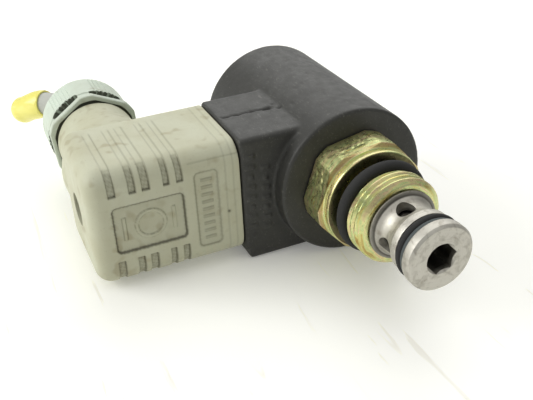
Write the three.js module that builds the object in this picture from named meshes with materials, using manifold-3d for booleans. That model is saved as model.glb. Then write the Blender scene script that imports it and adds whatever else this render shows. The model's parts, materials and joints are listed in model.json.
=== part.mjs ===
// Two-way solenoid cartridge valve: encapsulated coil, screw-in poppet cartridge and a
// right-angle cable plug with a cut lead. Millimetres, +Z up.
//
// The pieces are drawn in the valve's own frame: X runs along the valve axis towards the
// nose, the coil's front face is at x = 0, and the plug stands out of the coil towards -Y.
// The whole valve then lies on a table, on the coil's side and on the plug's far edge.
import * as THREE from "three";
import { mergeVertices } from "three/addons/utils/BufferGeometryUtils.js";
import Module from "manifold-3d";

const wasm = await Module();
wasm.setup();

// ---------------------------------------------------------------- driving dimensions
const GAP = 0.3; // clearance between pieces that touch
const RUN = 0.4; // radial clearance of pieces that slide or turn

// Coil
const COIL_RADIUS = 17.6;
const COIL_LENGTH = 47.6;
const COIL_WALL = 2;
const COIL_FRONT_WALL = 3;
const COIL_REAR_RECESS = 0.6;
const COIL_EDGE = 0.6; // chamfer round the coil's two ends
const SLEEVE_WALL = 1.4;
const FRONT_WASHER_THICKNESS = 2;
const REAR_WASHER_THICKNESS = 2.5;
const BOBBIN_WALL = 1;
const BOBBIN_FLANGE = 1.2;
const WINDING_BELOW_FLANGE = 0.5; // how far the wire stops short of the flange's rim

// Plug mount moulded on the coil
const NECK_SETBACK = 4.33; // coil's front face to the neck's front face
const NECK_REAR_STEP = 2.4; // plug's rear face to the neck's rear face
const NECK_OVERHANG = 0.5; // how far the neck stands proud of the plug, above and below
const NECK_FOOT_DROP = 2.1; // neck's underside to the foot's
const NECK_FOOT_SETBACK = 1.1; // foot's end to the neck's end
const NECK_REACH = 7.9; // coil's side to the plug's mouth
const GASKET_THICKNESS = 0.9;

// Plug, a form A plug 27.6 mm wide
const PLUG_WIDTH = 27.6;
const PLUG_DEPTH = 27;
const PLUG_HEIGHT = 33.5;
const PLUG_EDGE_RADIUS = 4.5;
const PLUG_END_RADIUS = 3.5;
const PLUG_WALL = 1.8;
const PLUG_END_WALL = 3.6;
const BLADE_WIDTH = 6.3;
const BLADE_THICKNESS = 0.8;
const BLADE_REACH = 8.5; // how far a blade stands out of the mating plane
const CONTACT_BLADE_INSET = 2.6; // carrier's side to the middle of a contact blade
const EARTH_BLADE_INSET = 2.3; // carrier's rear face to the middle of the earth blade
const CARRIER_HEIGHT = 17.5;
const TERMINAL_MARGIN = 1; // terminal's edge beyond its blade's edge
const TERMINAL_THICKNESS = 4.4;
const TERMINAL_LENGTH = 13.5;
const TERMINAL_SETBACK = 1; // carrier's mouth to a terminal's mouth
const CLAMP_SCREW_INSET = 2.6; // terminal's end to its clamp screw
const CLAMP_SCREW_RADIUS = 1.25;
const CLAMP_SCREW_ROOM = 0.6; // clearance round a clamp screw in the carrier
const CLAMP_SCREW_STAND = 0.15; // how far a clamp screw stands out of its terminal
const SCREW_RADIUS = 1.5;
const SCREW_HEAD_RADIUS = 2.9;
const SCREW_HEAD_HEIGHT = 2;
const SCREW_HEAD_RECESS = 0.8;
const SCREW_HEAD_ROOM = 0.9; // clearance round the screw's head
const SCREW_SLOT_HALF = 0.4;
const SCREW_SLOT_DEPTH = 0.9;
const SCREW_GRIP = 6; // screw length inside the coil's insert
const INSERT_WALL = 0.9;
const SEAL_WASHER_THICKNESS = 0.8;

// Cable gland
const GLAND_OFFSET = 11.8; // plug's far end to the gland's axis
const GLAND_RISE = 1; // gland's axis above the plug's middle
const GLAND_ROOT_RADIUS = 12.3; // where the neck leaves the plug
const GLAND_NECK_RADIUS = 10;
const GLAND_NECK_LENGTH = 17.1;
const GLAND_TAPER_LENGTH = 11;
const GLAND_SPIGOT_RADIUS = 8.8;
const GLAND_SPIGOT_LENGTH = 7.4;
const GLAND_SPIGOT_BORE = 6.6;
const NUT_HEX_ACROSS_FLATS = 22;
const NUT_CORNER_RADIUS = 11.9;
const NUT_HEX_THICKNESS = 1.8;
const NUT_HEX_ANGLE = 65; // degrees from +Y to a flat's outward normal
const NUT_WAIST_RADIUS = 10.3;
const NUT_WAIST_LENGTH = 2.4;
const NUT_CAP_RADIUS = 11.3;
const NUT_CAP_LENGTH = 12.6;
const NUT_END_RADIUS = 3.6; // rounding of the nut's far end
const NUT_EXIT_ROOM = 0.7; // clearance round the cable where it leaves the nut
const GROMMET_LENGTH = 9;
const GLAND_WASHER_THICKNESS = 0.8;
const CABLE_RADIUS = 3.15;
const END_SLEEVE_WALL = 0.4;
const CORE_RADIUS = 0.95;
const CORE_CIRCLE_RADIUS = 1.3; // cores' centres about the cable's
const CORE_STRAIGHT = 3; // how far a core runs straight out of the cable
const CORE_BEND_X = 5; // plug's rear face to the bend in each core
const CORE_BEND_DIP = 1.5;
const CORE_ENTRY_DROP = 2.5; // how far below its terminal a core turns into it

// Cartridge
const HEX_ACROSS_FLATS = 23.8;
const HEX_CORNER_RADIUS = 12.8;
const HEX_LENGTH = 7.8;
const HEX_CHAMFER_LENGTH = 0.75;
const HEX_FLAT_ANGLE = 40.8; // degrees from +Y to a flat's outward normal
const COLLAR_RADIUS = 11.75;
const COLLAR_LENGTH = 1.7;
const UNDERCUT_RADIUS = 8;
const UNDERCUT_LENGTH = 5;
const THREAD_RADIUS = 9.95;
const THREAD_LENGTH = 5.3;
const THREAD_CHAMFER = 1.2;
const COLLAR_STEP = 0.05; // the collar is this much smaller than the foot of the chamfer
const SEAT_RELIEF_RADIUS = 10.95; // the collar's seat face lies outside this radius
const SEAT_RELIEF_DEPTH = 0.3;
const BODY_RING_SECTION = 2.6;
const SPIGOT_LENGTH = 6.3;
const TUBE_RADIUS = 7.9;
const TUBE_WALL = 1;
const TUBE_END_SETBACK = 0.5; // rear flux washer's front face to the tube's end
const STROKE = 2.5;
const ARMATURE_LENGTH = 20;
const ARMATURE_FRONT_GAP = 2;
const ARMATURE_SPRING_POCKET = 8;
const SPRING_WIRE = 0.8;
const ARMATURE_SPRING_RADIUS = 2.4;
const PIN_RADIUS = 1.5;
const PIN_IN_ARMATURE = 6;
const PIN_IN_POPPET = 3.5;
const POLE_FLANGE_THICKNESS = 1;
const STUD_RADIUS = 4;
const COIL_NUT_LENGTH = 7.2;
const COIL_NUT_ACROSS_FLATS = 19;
const COIL_NUT_FLANGE_RADIUS = 11.5;
const COIL_NUT_FLANGE_THICKNESS = 2;
const COIL_NUT_CHAMFER = 1;
const COIL_NUT_CHAMFER_RISE = 1.4;
const COIL_RING_SECTION = 1.5;
const STUD_PROTRUSION = 2;

// Nose: the steel cage with its cross holes, sealing groove and hexagon socket
const CAGE_SHOULDER_RADIUS = 7.9;
const CAGE_TAIL_RADIUS = 6.3;
const CAGE_TAIL_LENGTH = 10.2;
const CAGE_SHOULDER_LENGTH = 0.4;
const CAGE_WAIST_RADIUS = 5.95;
const CAGE_LAND_RADIUS = 7.05;
const CAGE_TO_GROOVE = 8.45; // shoulder's rear face to the groove
const CAGE_LAND_LENGTH = 1.9; // the plain land behind the groove
const GROOVE_WIDTH = 2.85;
const GROOVE_RADIUS = 5.7;
const FLANGE_RADIUS = 7.46;
const FLANGE_THICKNESS = 2.69;
const FLANGE_CHAMFER = 0.5;
const CAGE_BORE_RADIUS = 4.4;
const SEAT_RADIUS = 2.3;
const SOCKET_ACROSS_FLATS = 6;
const SOCKET_DEPTH = 5.2;
const SOCKET_LEAD = 0.35; // countersink round the socket's mouth
const CROSS_HOLE_RADIUS = 1.95;
const CROSS_HOLE_POSITION = 3.3; // shoulder's rear face to the holes' centres
const CROSS_HOLE_COUNT = 4;
const CROSS_HOLE_ANGLE = 105.5; // degrees from +Y to the first hole
const NOSE_RING_SECTION = 1.5;
const BACKUP_RING_THICKNESS = 0.9;
const BACKUP_RING_RADIUS = 7.1;
const POPPET_LENGTH = 10.4;
const POPPET_SPRING_RADIUS = 3;
const POPPET_TIP_RADIUS = 1.6;

// The lead: points on its centre line from inside the gland to its cut end, measured from
// the gland nut's rear face on the gland's axis.
const LEAD_ROUTE = [
  [28, 0, 0],
  [12, 0, 0],
  [0, 0, 0],
  [-3, -0.8, 0],
  [-7.5, -3.5, 0.4],
  [-12.5, -7.8, 0.3],
  [-16.7, -11.1, -1.5],
  [-19.6, -13.2, -3.1],
];
const SLEEVE_START = 5; // index of the route's point where the end sleeve's mouth lies

// Roundness
const FINE = 48;
const MEDIUM = 28;
const COARSE = 16;

// ---------------------------------------------------------------- derived places
const boreRadius = TUBE_RADIUS + RUN;
const fluxOuter = COIL_RADIUS - COIL_WALL - GAP;
const fluxInner = fluxOuter - SLEEVE_WALL;
const bobbinFlangeRadius = fluxInner - GAP;
const coilRear = -COIL_LENGTH;
const frontWasherFront = -COIL_FRONT_WALL - GAP;
const frontWasherRear = frontWasherFront - FRONT_WASHER_THICKNESS;
const rearWasherRear = coilRear + COIL_REAR_RECESS;
const rearWasherFront = rearWasherRear + REAR_WASHER_THICKNESS;

const plugFront = -NECK_SETBACK;
const plugRear = plugFront - PLUG_DEPTH;
const plugMiddle = (plugFront + plugRear) / 2;
const plugHalf = PLUG_WIDTH / 2;
const plugMouth = -COIL_RADIUS - NECK_REACH;
const plugEnd = plugMouth - PLUG_HEIGHT;
const neckEnd = plugMouth + GAP;
const neckRear = plugRear + NECK_REAR_STEP;
const neckHalf = plugHalf + NECK_OVERHANG;
const neckFoot = neckHalf + NECK_FOOT_DROP;
const gasketOuter = plugMouth - GASKET_THICKNESS;
const carrierInset = PLUG_WALL + RUN;
const contactPitch = plugHalf - carrierInset - CONTACT_BLADE_INSET;
const earthPitch = PLUG_DEPTH / 2 - carrierInset - EARTH_BLADE_INSET;
const carrierMouth = gasketOuter - GAP;
const carrierEnd = carrierMouth - CARRIER_HEIGHT;
const terminalMouth = carrierMouth - TERMINAL_SETBACK;
const terminalEnd = terminalMouth - TERMINAL_LENGTH;
const clampScrewY = terminalEnd + CLAMP_SCREW_INSET;
const screwHeadTop = plugEnd + SCREW_HEAD_RECESS;
const screwHeadSeat = screwHeadTop + SCREW_HEAD_HEIGHT;

const glandAxisY = plugEnd + GLAND_OFFSET;
const glandNeckEnd = plugRear - GLAND_NECK_LENGTH;
const glandSpigotEnd = glandNeckEnd - GLAND_SPIGOT_LENGTH;
const nutFront = glandNeckEnd - GAP;
const nutRear = nutFront - NUT_HEX_THICKNESS - NUT_WAIST_LENGTH - NUT_CAP_LENGTH;

const hexRear = GAP;
const hexFront = hexRear + HEX_LENGTH;
const collarFront = hexFront + COLLAR_LENGTH;
const threadRear = collarFront + UNDERCUT_LENGTH;
const threadFront = threadRear + THREAD_LENGTH;
const tubeInner = TUBE_RADIUS - TUBE_WALL;
const spigotRear = hexRear - SPIGOT_LENGTH;
const tubeRear = rearWasherFront + TUBE_END_SETBACK;
const armatureFront = spigotRear - ARMATURE_FRONT_GAP;
const armatureRear = armatureFront - ARMATURE_LENGTH;
const poleFront = armatureRear - STROKE - GAP;
const coilNutFront = rearWasherRear - GAP;
const coilNutRear = coilNutFront - COIL_NUT_LENGTH;
const studEnd = coilNutRear - STUD_PROTRUSION;

const shoulderRear = threadFront + GAP;
const cageTailRear = shoulderRear - CAGE_TAIL_LENGTH;
const waistStart = shoulderRear + CAGE_SHOULDER_LENGTH;
const grooveRear = shoulderRear + CAGE_TO_GROOVE;
const grooveFront = grooveRear + GROOVE_WIDTH;
const noseFace = grooveFront + FLANGE_THICKNESS;
const socketFloor = noseFace - SOCKET_DEPTH;
const seatEdge = socketFloor - GAP;
const seatTop = seatEdge - (CAGE_BORE_RADIUS - SEAT_RADIUS);
const poppetRadius = CAGE_BORE_RADIUS - RUN;
const poppetFront = seatTop - GAP;
const poppetRear = poppetFront - POPPET_LENGTH;
const pinTip = poppetRear + PIN_IN_POPPET;
const springChamberRear = cageTailRear - GAP;

// ---------------------------------------------------------------- shape helpers

/** A closed three.js geometry as a manifold solid, turned so that its faces point out. */
function solid(geometry) {
  const bare = geometry.clone();
  bare.deleteAttribute("normal");
  bare.deleteAttribute("uv");
  const merged = mergeVertices(bare, 1e-4);
  const index = merged.index.array;
  const kept = [];
  for (let i = 0; i < index.length; i += 3) {
    const [a, b, c] = [index[i], index[i + 1], index[i + 2]];
    if (a !== b && b !== c && c !== a) kept.push(a, b, c);
  }
  const vertProperties = new Float32Array(merged.attributes.position.array);
  const make = (tris) =>
    new wasm.Manifold(
      new wasm.Mesh({ numProp: 3, vertProperties, triVerts: new Uint32Array(tris) }),
    );
  const first = make(kept);
  if (first.volume() > 0) return first;
  const turned = [];
  for (let i = 0; i < kept.length; i += 3) turned.push(kept[i], kept[i + 2], kept[i + 1]);
  return make(turned);
}

/** A manifold solid as a three.js geometry. */
function geometryOf(body) {
  const { vertProperties, triVerts } = body.getMesh();
  const geometry = new THREE.BufferGeometry();
  geometry.setAttribute("position", new THREE.BufferAttribute(vertProperties, 3));
  geometry.setIndex(new THREE.BufferAttribute(triVerts, 1));
  geometry.computeVertexNormals();
  return geometry;
}

/** A solid turned about the X axis from a closed outline of [x, radius] points. */
function turned(outline, segments = MEDIUM) {
  const points = outline.map(([x, radius]) => new THREE.Vector2(radius, x));
  points.push(points[0].clone());
  return solid(new THREE.LatheGeometry(points, segments).rotateZ(-Math.PI / 2));
}

/** A ring or, with no inner radius, a disc between two places on the X axis. */
function ring(x0, x1, outer, inner = 0, segments = MEDIUM) {
  const outline = [[x0, inner], [x1, inner], [x1, outer], [x0, outer]];
  return turned(outline, segments);
}

/** A round-section ring about the X axis. */
function roundRing(x, innerRadius, section, segments = MEDIUM, sides = 8) {
  const radius = section / 2;
  const torus = new THREE.TorusGeometry(innerRadius + radius, radius, sides, segments);
  return solid(torus.rotateY(Math.PI / 2).translate(x, 0, 0));
}

/** A box between two corners. */
function block(low, high) {
  const size = high.map((value, i) => value - low[i]);
  const middle = high.map((value, i) => (value + low[i]) / 2);
  return solid(new THREE.BoxGeometry(...size).translate(...middle));
}

/** A regular prism along X whose flats are a given distance apart. */
function prism(x0, x1, acrossFlats, sides, flatAngle) {
  const corner = acrossFlats / 2 / Math.cos(Math.PI / sides);
  const start = THREE.MathUtils.degToRad(flatAngle) + Math.PI / sides;
  const outline = new THREE.Shape();
  for (let i = 0; i < sides; i += 1) {
    const angle = start + (i * 2 * Math.PI) / sides;
    const [across, up] = [corner * Math.cos(angle), corner * Math.sin(angle)];
    if (i === 0) outline.moveTo(across, up);
    else outline.lineTo(across, up);
  }
  outline.closePath();
  const bar = new THREE.ExtrudeGeometry(outline, { depth: x1 - x0, bevelEnabled: false });
  // The outline's X, Y and depth become the valve's Y, Z and X.
  const turn = new THREE.Matrix4().set(0, 0, 1, x0, 1, 0, 0, 0, 0, 1, 0, 0, 0, 0, 0, 1);
  return solid(bar.applyMatrix4(turn));
}

/** A rod or tube along -Y from y0 outwards, centred on (x, z). */
function rodAlongY(x, z, y0, y1, outer, inner = 0, segments = COARSE) {
  const points = [[inner, y0], [outer, y0], [outer, y1], [inner, y1], [inner, y0]];
  const lathe = new THREE.LatheGeometry(
    points.map(([radius, y]) => new THREE.Vector2(radius, y)),
    segments,
  );
  return solid(lathe.translate(x, 0, z));
}

/** A rectangle with round corners in the X-Z plane, drawn about the plug's middle. */
function plugOutline(inset) {
  const [halfX, halfZ] = [PLUG_DEPTH / 2 - inset, plugHalf - inset];
  const radius = Math.max(PLUG_EDGE_RADIUS - inset, 0.5);
  const outline = new THREE.Shape();
  outline.moveTo(-halfX + radius, -halfZ);
  outline.lineTo(halfX - radius, -halfZ);
  outline.absarc(halfX - radius, -halfZ + radius, radius, -Math.PI / 2, 0);
  outline.lineTo(halfX, halfZ - radius);
  outline.absarc(halfX - radius, halfZ - radius, radius, 0, Math.PI / 2);
  outline.lineTo(-halfX + radius, halfZ);
  outline.absarc(-halfX + radius, halfZ - radius, radius, Math.PI / 2, Math.PI);
  outline.lineTo(-halfX, -halfZ + radius);
  outline.absarc(-halfX + radius, -halfZ + radius, radius, Math.PI, Math.PI * 1.5);
  return outline;
}

/** A plug-shaped prism from y0 outwards to y1, inset from the plug's outer faces. */
function plugPrism(inset, y0, y1) {
  const settings = { depth: y0 - y1, bevelEnabled: false, curveSegments: 5 };
  const bar = new THREE.ExtrudeGeometry(plugOutline(inset), settings);
  return solid(bar.rotateX(Math.PI / 2).translate(plugMiddle, y0, 0));
}

/** The plug's outer form, with its far end's edges rounded. */
function plugBlank() {
  const settings = {
    depth: PLUG_HEIGHT,
    bevelSize: PLUG_END_RADIUS,
    bevelThickness: PLUG_END_RADIUS,
    bevelSegments: 4,
    curveSegments: 5,
  };
  const bar = new THREE.ExtrudeGeometry(plugOutline(PLUG_END_RADIUS), settings);
  bar.rotateX(Math.PI / 2).translate(plugMiddle, plugMouth + PLUG_END_RADIUS, 0);
  const reach = PLUG_WIDTH * 2;
  const end = plugEnd + PLUG_END_RADIUS;
  const beyond = block([-reach, plugMouth, -reach], [reach, plugMouth + reach, reach]);
  const shift = plugMouth + PLUG_END_RADIUS - PLUG_HEIGHT - end;
  return solid(bar.translate(0, -shift, 0)).subtract(beyond);
}

/** A helical spring along X, its wire's centre line at a given radius. */
function spring(x0, x1, radius, turns) {
  class Helix extends THREE.Curve {
    getPoint(t, target = new THREE.Vector3()) {
      const angle = t * turns * 2 * Math.PI;
      return target.set(x0 + (x1 - x0) * t, radius * Math.cos(angle), radius * Math.sin(angle));
    }
  }
  const section = new THREE.Shape().absarc(0, 0, SPRING_WIRE / 2, 0, 2 * Math.PI);
  return solid(
    new THREE.ExtrudeGeometry(section, {
      steps: turns * 10,
      extrudePath: new Helix(),
      curveSegments: 2,
    }),
  );
}

/** A round bar that follows a smooth curve through some points. */
function bar(points, radius, steps, curveSegments = 5) {
  const route = new THREE.CatmullRomCurve3(points);
  const section = new THREE.Shape().absarc(0, 0, radius, 0, 2 * Math.PI);
  const settings = { steps, extrudePath: route, curveSegments };
  return solid(new THREE.ExtrudeGeometry(section, settings));
}

// ---------------------------------------------------------------- finishes
const finish = (color, roughness, metalness = 0) =>
  new THREE.MeshStandardMaterial({ color, roughness, metalness });
const blackMoulding = finish(0x3a3a36, 0.55);
const greyMoulding = finish(0xb9b99f, 0.6);
const paleMoulding = finish(0xc7d0bf, 0.6);
const blackRubber = finish(0x111111, 0.25);
const yellowZinc = finish(0xc3bb72, 0.35, 1);
const turnedSteel = finish(0xb4b1a6, 0.3, 1);
const magnetSteel = finish(0x8f8f8c, 0.4, 1);
const springSteel = finish(0x9a9a96, 0.3, 1);
const copper = finish(0xb06a3c, 0.35, 1);
const brass = finish(0xb99a55, 0.35, 1);
const greyJacket = finish(0xa5a89b, 0.5);
const yellowSleeve = finish(0xdcd65c, 0.45);
const coreColours = [finish(0x6b4326, 0.5), finish(0x2b5fa3, 0.5), finish(0x6f9b35, 0.5)];

const valve = new THREE.Group();

/** Adds one named piece to the valve. */
function piece(name, body, material) {
  const mesh = new THREE.Mesh(geometryOf(body), material);
  mesh.name = name;
  valve.add(mesh);
}

// ---------------------------------------------------------------- coil

/** Where each blade crosses the mating plane, and whether its width runs along X. */
const blades = [
  { name: "contact_blade_1", x: plugMiddle, z: contactPitch, wideInX: true },
  { name: "contact_blade_2", x: plugMiddle, z: -contactPitch, wideInX: true },
  { name: "earth_blade", x: plugMiddle - earthPitch, z: 0, wideInX: false },
];

/** A bar about a blade's centre line, larger than the blade by a clearance. */
function bladeBar(blade, y0, y1, clearance) {
  const wide = BLADE_WIDTH / 2 + clearance;
  const thin = BLADE_THICKNESS / 2 + clearance;
  const [dx, dz] = blade.wideInX ? [wide, thin] : [thin, wide];
  return block([blade.x - dx, y1, blade.z - dz], [blade.x + dx, y0, blade.z + dz]);
}

/** The y at which a bar standing at height z meets a cylinder about the valve axis. */
const cylinderY = (radius, z) => -Math.sqrt(Math.max(radius * radius - z * z, 0));

function coilHousing() {
  const cavityRadius = COIL_RADIUS - COIL_WALL;
  const outer = turned(
    [
      [0, 0],
      [0, COIL_RADIUS - COIL_EDGE],
      [-COIL_EDGE, COIL_RADIUS],
      [coilRear + COIL_EDGE, COIL_RADIUS],
      [coilRear, COIL_RADIUS - COIL_EDGE],
      [coilRear, 0],
    ],
    FINE,
  );
  const foot = block([neckRear, neckEnd + NECK_FOOT_SETBACK, -neckFoot], [plugFront, 0, 0]);
  const neck = block([neckRear, neckEnd, -neckHalf], [plugFront, 0, neckHalf]).add(foot);
  const insertRadius = SCREW_RADIUS + RUN + INSERT_WALL + GAP;
  let body = outer
    .add(neck)
    .subtract(ring(coilRear - 1, -COIL_FRONT_WALL, cavityRadius, 0, FINE))
    .subtract(ring(-COIL_FRONT_WALL - 1, 1, boreRadius))
    .subtract(ring(-COIL_RING_SECTION - GAP, 1, boreRadius + COIL_RING_SECTION + GAP))
    .subtract(rodAlongY(plugMiddle, 0, neckEnd - 1, 0, insertRadius));
  for (const blade of blades) body = body.subtract(bladeBar(blade, 0, neckEnd - 1, GAP));
  return body;
}

function coilBobbin() {
  const inner = boreRadius;
  const core = inner + BOBBIN_WALL;
  const front = frontWasherRear - GAP;
  const rear = rearWasherFront + GAP;
  return turned([
    [front, inner],
    [front, bobbinFlangeRadius],
    [front - BOBBIN_FLANGE, bobbinFlangeRadius],
    [front - BOBBIN_FLANGE, core],
    [rear + BOBBIN_FLANGE, core],
    [rear + BOBBIN_FLANGE, bobbinFlangeRadius],
    [rear, bobbinFlangeRadius],
    [rear, inner],
  ]);
}

function coilWinding() {
  const front = frontWasherRear - GAP - BOBBIN_FLANGE - GAP;
  const rear = rearWasherFront + GAP + BOBBIN_FLANGE + GAP;
  const outer = bobbinFlangeRadius - WINDING_BELOW_FLANGE;
  return ring(rear, front, outer, boreRadius + BOBBIN_WALL + GAP);
}

function addCoil() {
  piece("coil_housing", coilHousing(), blackMoulding);
  piece("coil_bobbin", coilBobbin(), paleMoulding);
  piece("coil_winding", coilWinding(), copper);
  const sleeveFront = frontWasherRear - GAP;
  const sleeveRear = rearWasherFront + GAP;
  piece("flux_sleeve", ring(sleeveRear, sleeveFront, fluxOuter, fluxInner), magnetSteel);
  const frontWasher = ring(frontWasherRear, frontWasherFront, fluxOuter, boreRadius);
  piece("front_flux_washer", frontWasher, magnetSteel);
  const rearWasher = ring(rearWasherRear, rearWasherFront, fluxOuter, boreRadius, FINE);
  piece("rear_flux_washer", rearWasher, magnetSteel);
  for (const blade of blades) {
    const width = blade.wideInX ? BLADE_THICKNESS / 2 : BLADE_WIDTH / 2;
    const root = cylinderY(COIL_RADIUS - COIL_WALL + GAP, Math.abs(blade.z) - width);
    const bladeBody = bladeBar(blade, root, plugMouth - BLADE_REACH, 0);
    piece(blade.name, bladeBody, brass);
  }
  const insertBore = SCREW_RADIUS + RUN;
  const insertRoot = cylinderY(COIL_RADIUS - COIL_WALL + GAP, 0);
  const insertOuter = insertBore + INSERT_WALL;
  const insert = rodAlongY(plugMiddle, 0, neckEnd, insertRoot, insertOuter, insertBore);
  piece("screw_insert", insert, brass);
  const frontRingX = -(COIL_RING_SECTION + GAP) / 2 + GAP / 4;
  const frontRing = roundRing(frontRingX, boreRadius, COIL_RING_SECTION);
  piece("coil_front_o_ring", frontRing, blackRubber);
}

// ---------------------------------------------------------------- cartridge

function hexBody() {
  const chamferStart = hexFront - HEX_CHAMFER_LENGTH;
  const hexBlank = prism(hexRear, hexFront, HEX_ACROSS_FLATS, 6, HEX_FLAT_ANGLE);
  const hexEnvelope = turned(
    [
      [hexRear, 0],
      [hexRear, HEX_CORNER_RADIUS],
      [chamferStart, HEX_CORNER_RADIUS],
      [hexFront, COLLAR_RADIUS],
      [hexFront, 0],
    ],
    FINE,
  );
  const tail = turned(
    [
      [hexFront - 1, 0],
      [hexFront - 1, COLLAR_RADIUS - COLLAR_STEP],
      [collarFront, COLLAR_RADIUS - COLLAR_STEP],
      [collarFront, SEAT_RELIEF_RADIUS],
      [collarFront - SEAT_RELIEF_DEPTH, SEAT_RELIEF_RADIUS],
      [collarFront - SEAT_RELIEF_DEPTH, UNDERCUT_RADIUS],
      [threadRear, UNDERCUT_RADIUS],
      [threadRear, THREAD_RADIUS],
      [threadFront - THREAD_CHAMFER / 2, THREAD_RADIUS],
      [threadFront, THREAD_RADIUS - THREAD_CHAMFER],
      [threadFront, 0],
    ],
    FINE,
  );
  const spigot = ring(spigotRear, hexRear + 1, tubeInner - GAP);
  const cageBore = ring(springChamberRear, threadFront + 1, CAGE_TAIL_RADIUS + GAP);
  const pinBore = ring(spigotRear - 1, threadFront, PIN_RADIUS + RUN, 0, COARSE);
  return hexBlank
    .intersect(hexEnvelope)
    .add(tail)
    .add(spigot)
    .subtract(cageBore)
    .subtract(pinBore);
}

/** The cage's hollow waist: the lands' radius at both ends, curving in to the waist's. */
function cageWaist() {
  const waistEnd = grooveRear - CAGE_LAND_LENGTH;
  const along = (share) => waistStart + share * (waistEnd - waistStart);
  const out = (share) => CAGE_WAIST_RADIUS + share * (CAGE_LAND_RADIUS - CAGE_WAIST_RADIUS);
  const points = [
    [along(0.05), out(0.86)],
    [along(0.24), out(0.23)],
    [along(0.55), out(0)],
    [along(0.8), out(0.32)],
    [along(1), out(0.91)],
  ];
  const curve = new THREE.CatmullRomCurve3(points.map(([x, radius]) => new THREE.Vector3(x, radius, 0)));
  return curve.getPoints(10).map((p) => [p.x, p.y]);
}

function valveCage() {
  const outer = turned(
    [
      [cageTailRear, 0],
      [cageTailRear, CAGE_TAIL_RADIUS],
      [shoulderRear, CAGE_TAIL_RADIUS],
      [shoulderRear, CAGE_SHOULDER_RADIUS],
      [waistStart, CAGE_SHOULDER_RADIUS],
      ...cageWaist(),
      [grooveRear, CAGE_LAND_RADIUS],
      [grooveRear, GROOVE_RADIUS],
      [grooveFront, GROOVE_RADIUS],
      [grooveFront, FLANGE_RADIUS],
      [noseFace - FLANGE_CHAMFER, FLANGE_RADIUS],
      [noseFace, FLANGE_RADIUS - FLANGE_CHAMFER],
      [noseFace, 0],
    ],
    FINE,
  );
  const bore = turned([
    [cageTailRear - 1, 0],
    [cageTailRear - 1, CAGE_BORE_RADIUS],
    [seatTop, CAGE_BORE_RADIUS],
    [seatEdge, SEAT_RADIUS],
    [noseFace - 1, SEAT_RADIUS],
    [noseFace - 1, 0],
  ]);
  const socket = prism(socketFloor, noseFace + 1, SOCKET_ACROSS_FLATS, 6, HEX_FLAT_ANGLE);
  const mouthRadius = SOCKET_ACROSS_FLATS / 2 + SOCKET_LEAD;
  const mouth = turned([
    [noseFace - SOCKET_LEAD, 0],
    [noseFace - SOCKET_LEAD, SOCKET_ACROSS_FLATS / 2],
    [noseFace, mouthRadius],
    [noseFace + 1, mouthRadius],
    [noseFace + 1, 0],
  ]);
  let body = outer.subtract(bore).subtract(socket).subtract(mouth);
  for (let i = 0; i < CROSS_HOLE_COUNT; i += 1) {
    const angle = CROSS_HOLE_ANGLE + (i * 360) / CROSS_HOLE_COUNT;
    const drillX = shoulderRear + CROSS_HOLE_POSITION;
    const drill = rodAlongY(drillX, 0, 0, CAGE_SHOULDER_RADIUS * 2, CROSS_HOLE_RADIUS);
    body = body.subtract(drill.rotate([angle, 0, 0]));
  }
  return body;
}

function polePiece() {
  const flangeRear = tubeRear - GAP - POLE_FLANGE_THICKNESS;
  return turned([
    [poleFront, 0],
    [poleFront, tubeInner - GAP],
    [tubeRear - GAP, tubeInner - GAP],
    [tubeRear - GAP, TUBE_RADIUS - RUN],
    [flangeRear, TUBE_RADIUS - RUN],
    [flangeRear, STUD_RADIUS],
    [studEnd, STUD_RADIUS],
    [studEnd, 0],
  ]);
}

function addCartridge() {
  piece("hex_body", hexBody(), yellowZinc);
  piece("armature_tube", ring(tubeRear, 0, TUBE_RADIUS, tubeInner), turnedSteel);
  piece("pole_piece", polePiece(), magnetSteel);
  piece("valve_cage", valveCage(), turnedSteel);
  const bodyRingX = (collarFront + threadRear + GAP * 2) / 2;
  const bodyRing = roundRing(bodyRingX, UNDERCUT_RADIUS + GAP, BODY_RING_SECTION, FINE);
  piece("body_o_ring", bodyRing, blackRubber);
  const noseRingX = grooveRear + GAP / 2 + NOSE_RING_SECTION / 2;
  const noseRing = roundRing(noseRingX, GROOVE_RADIUS + GAP / 3, NOSE_RING_SECTION, MEDIUM);
  piece("nose_o_ring", noseRing, blackRubber);
  const backupFront = grooveFront - GAP / 2;
  const backupRear = backupFront - BACKUP_RING_THICKNESS;
  const backup = ring(backupRear, backupFront, BACKUP_RING_RADIUS, GROOVE_RADIUS + GAP / 3);
  piece("nose_backup_ring", backup, blackMoulding);
}

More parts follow.
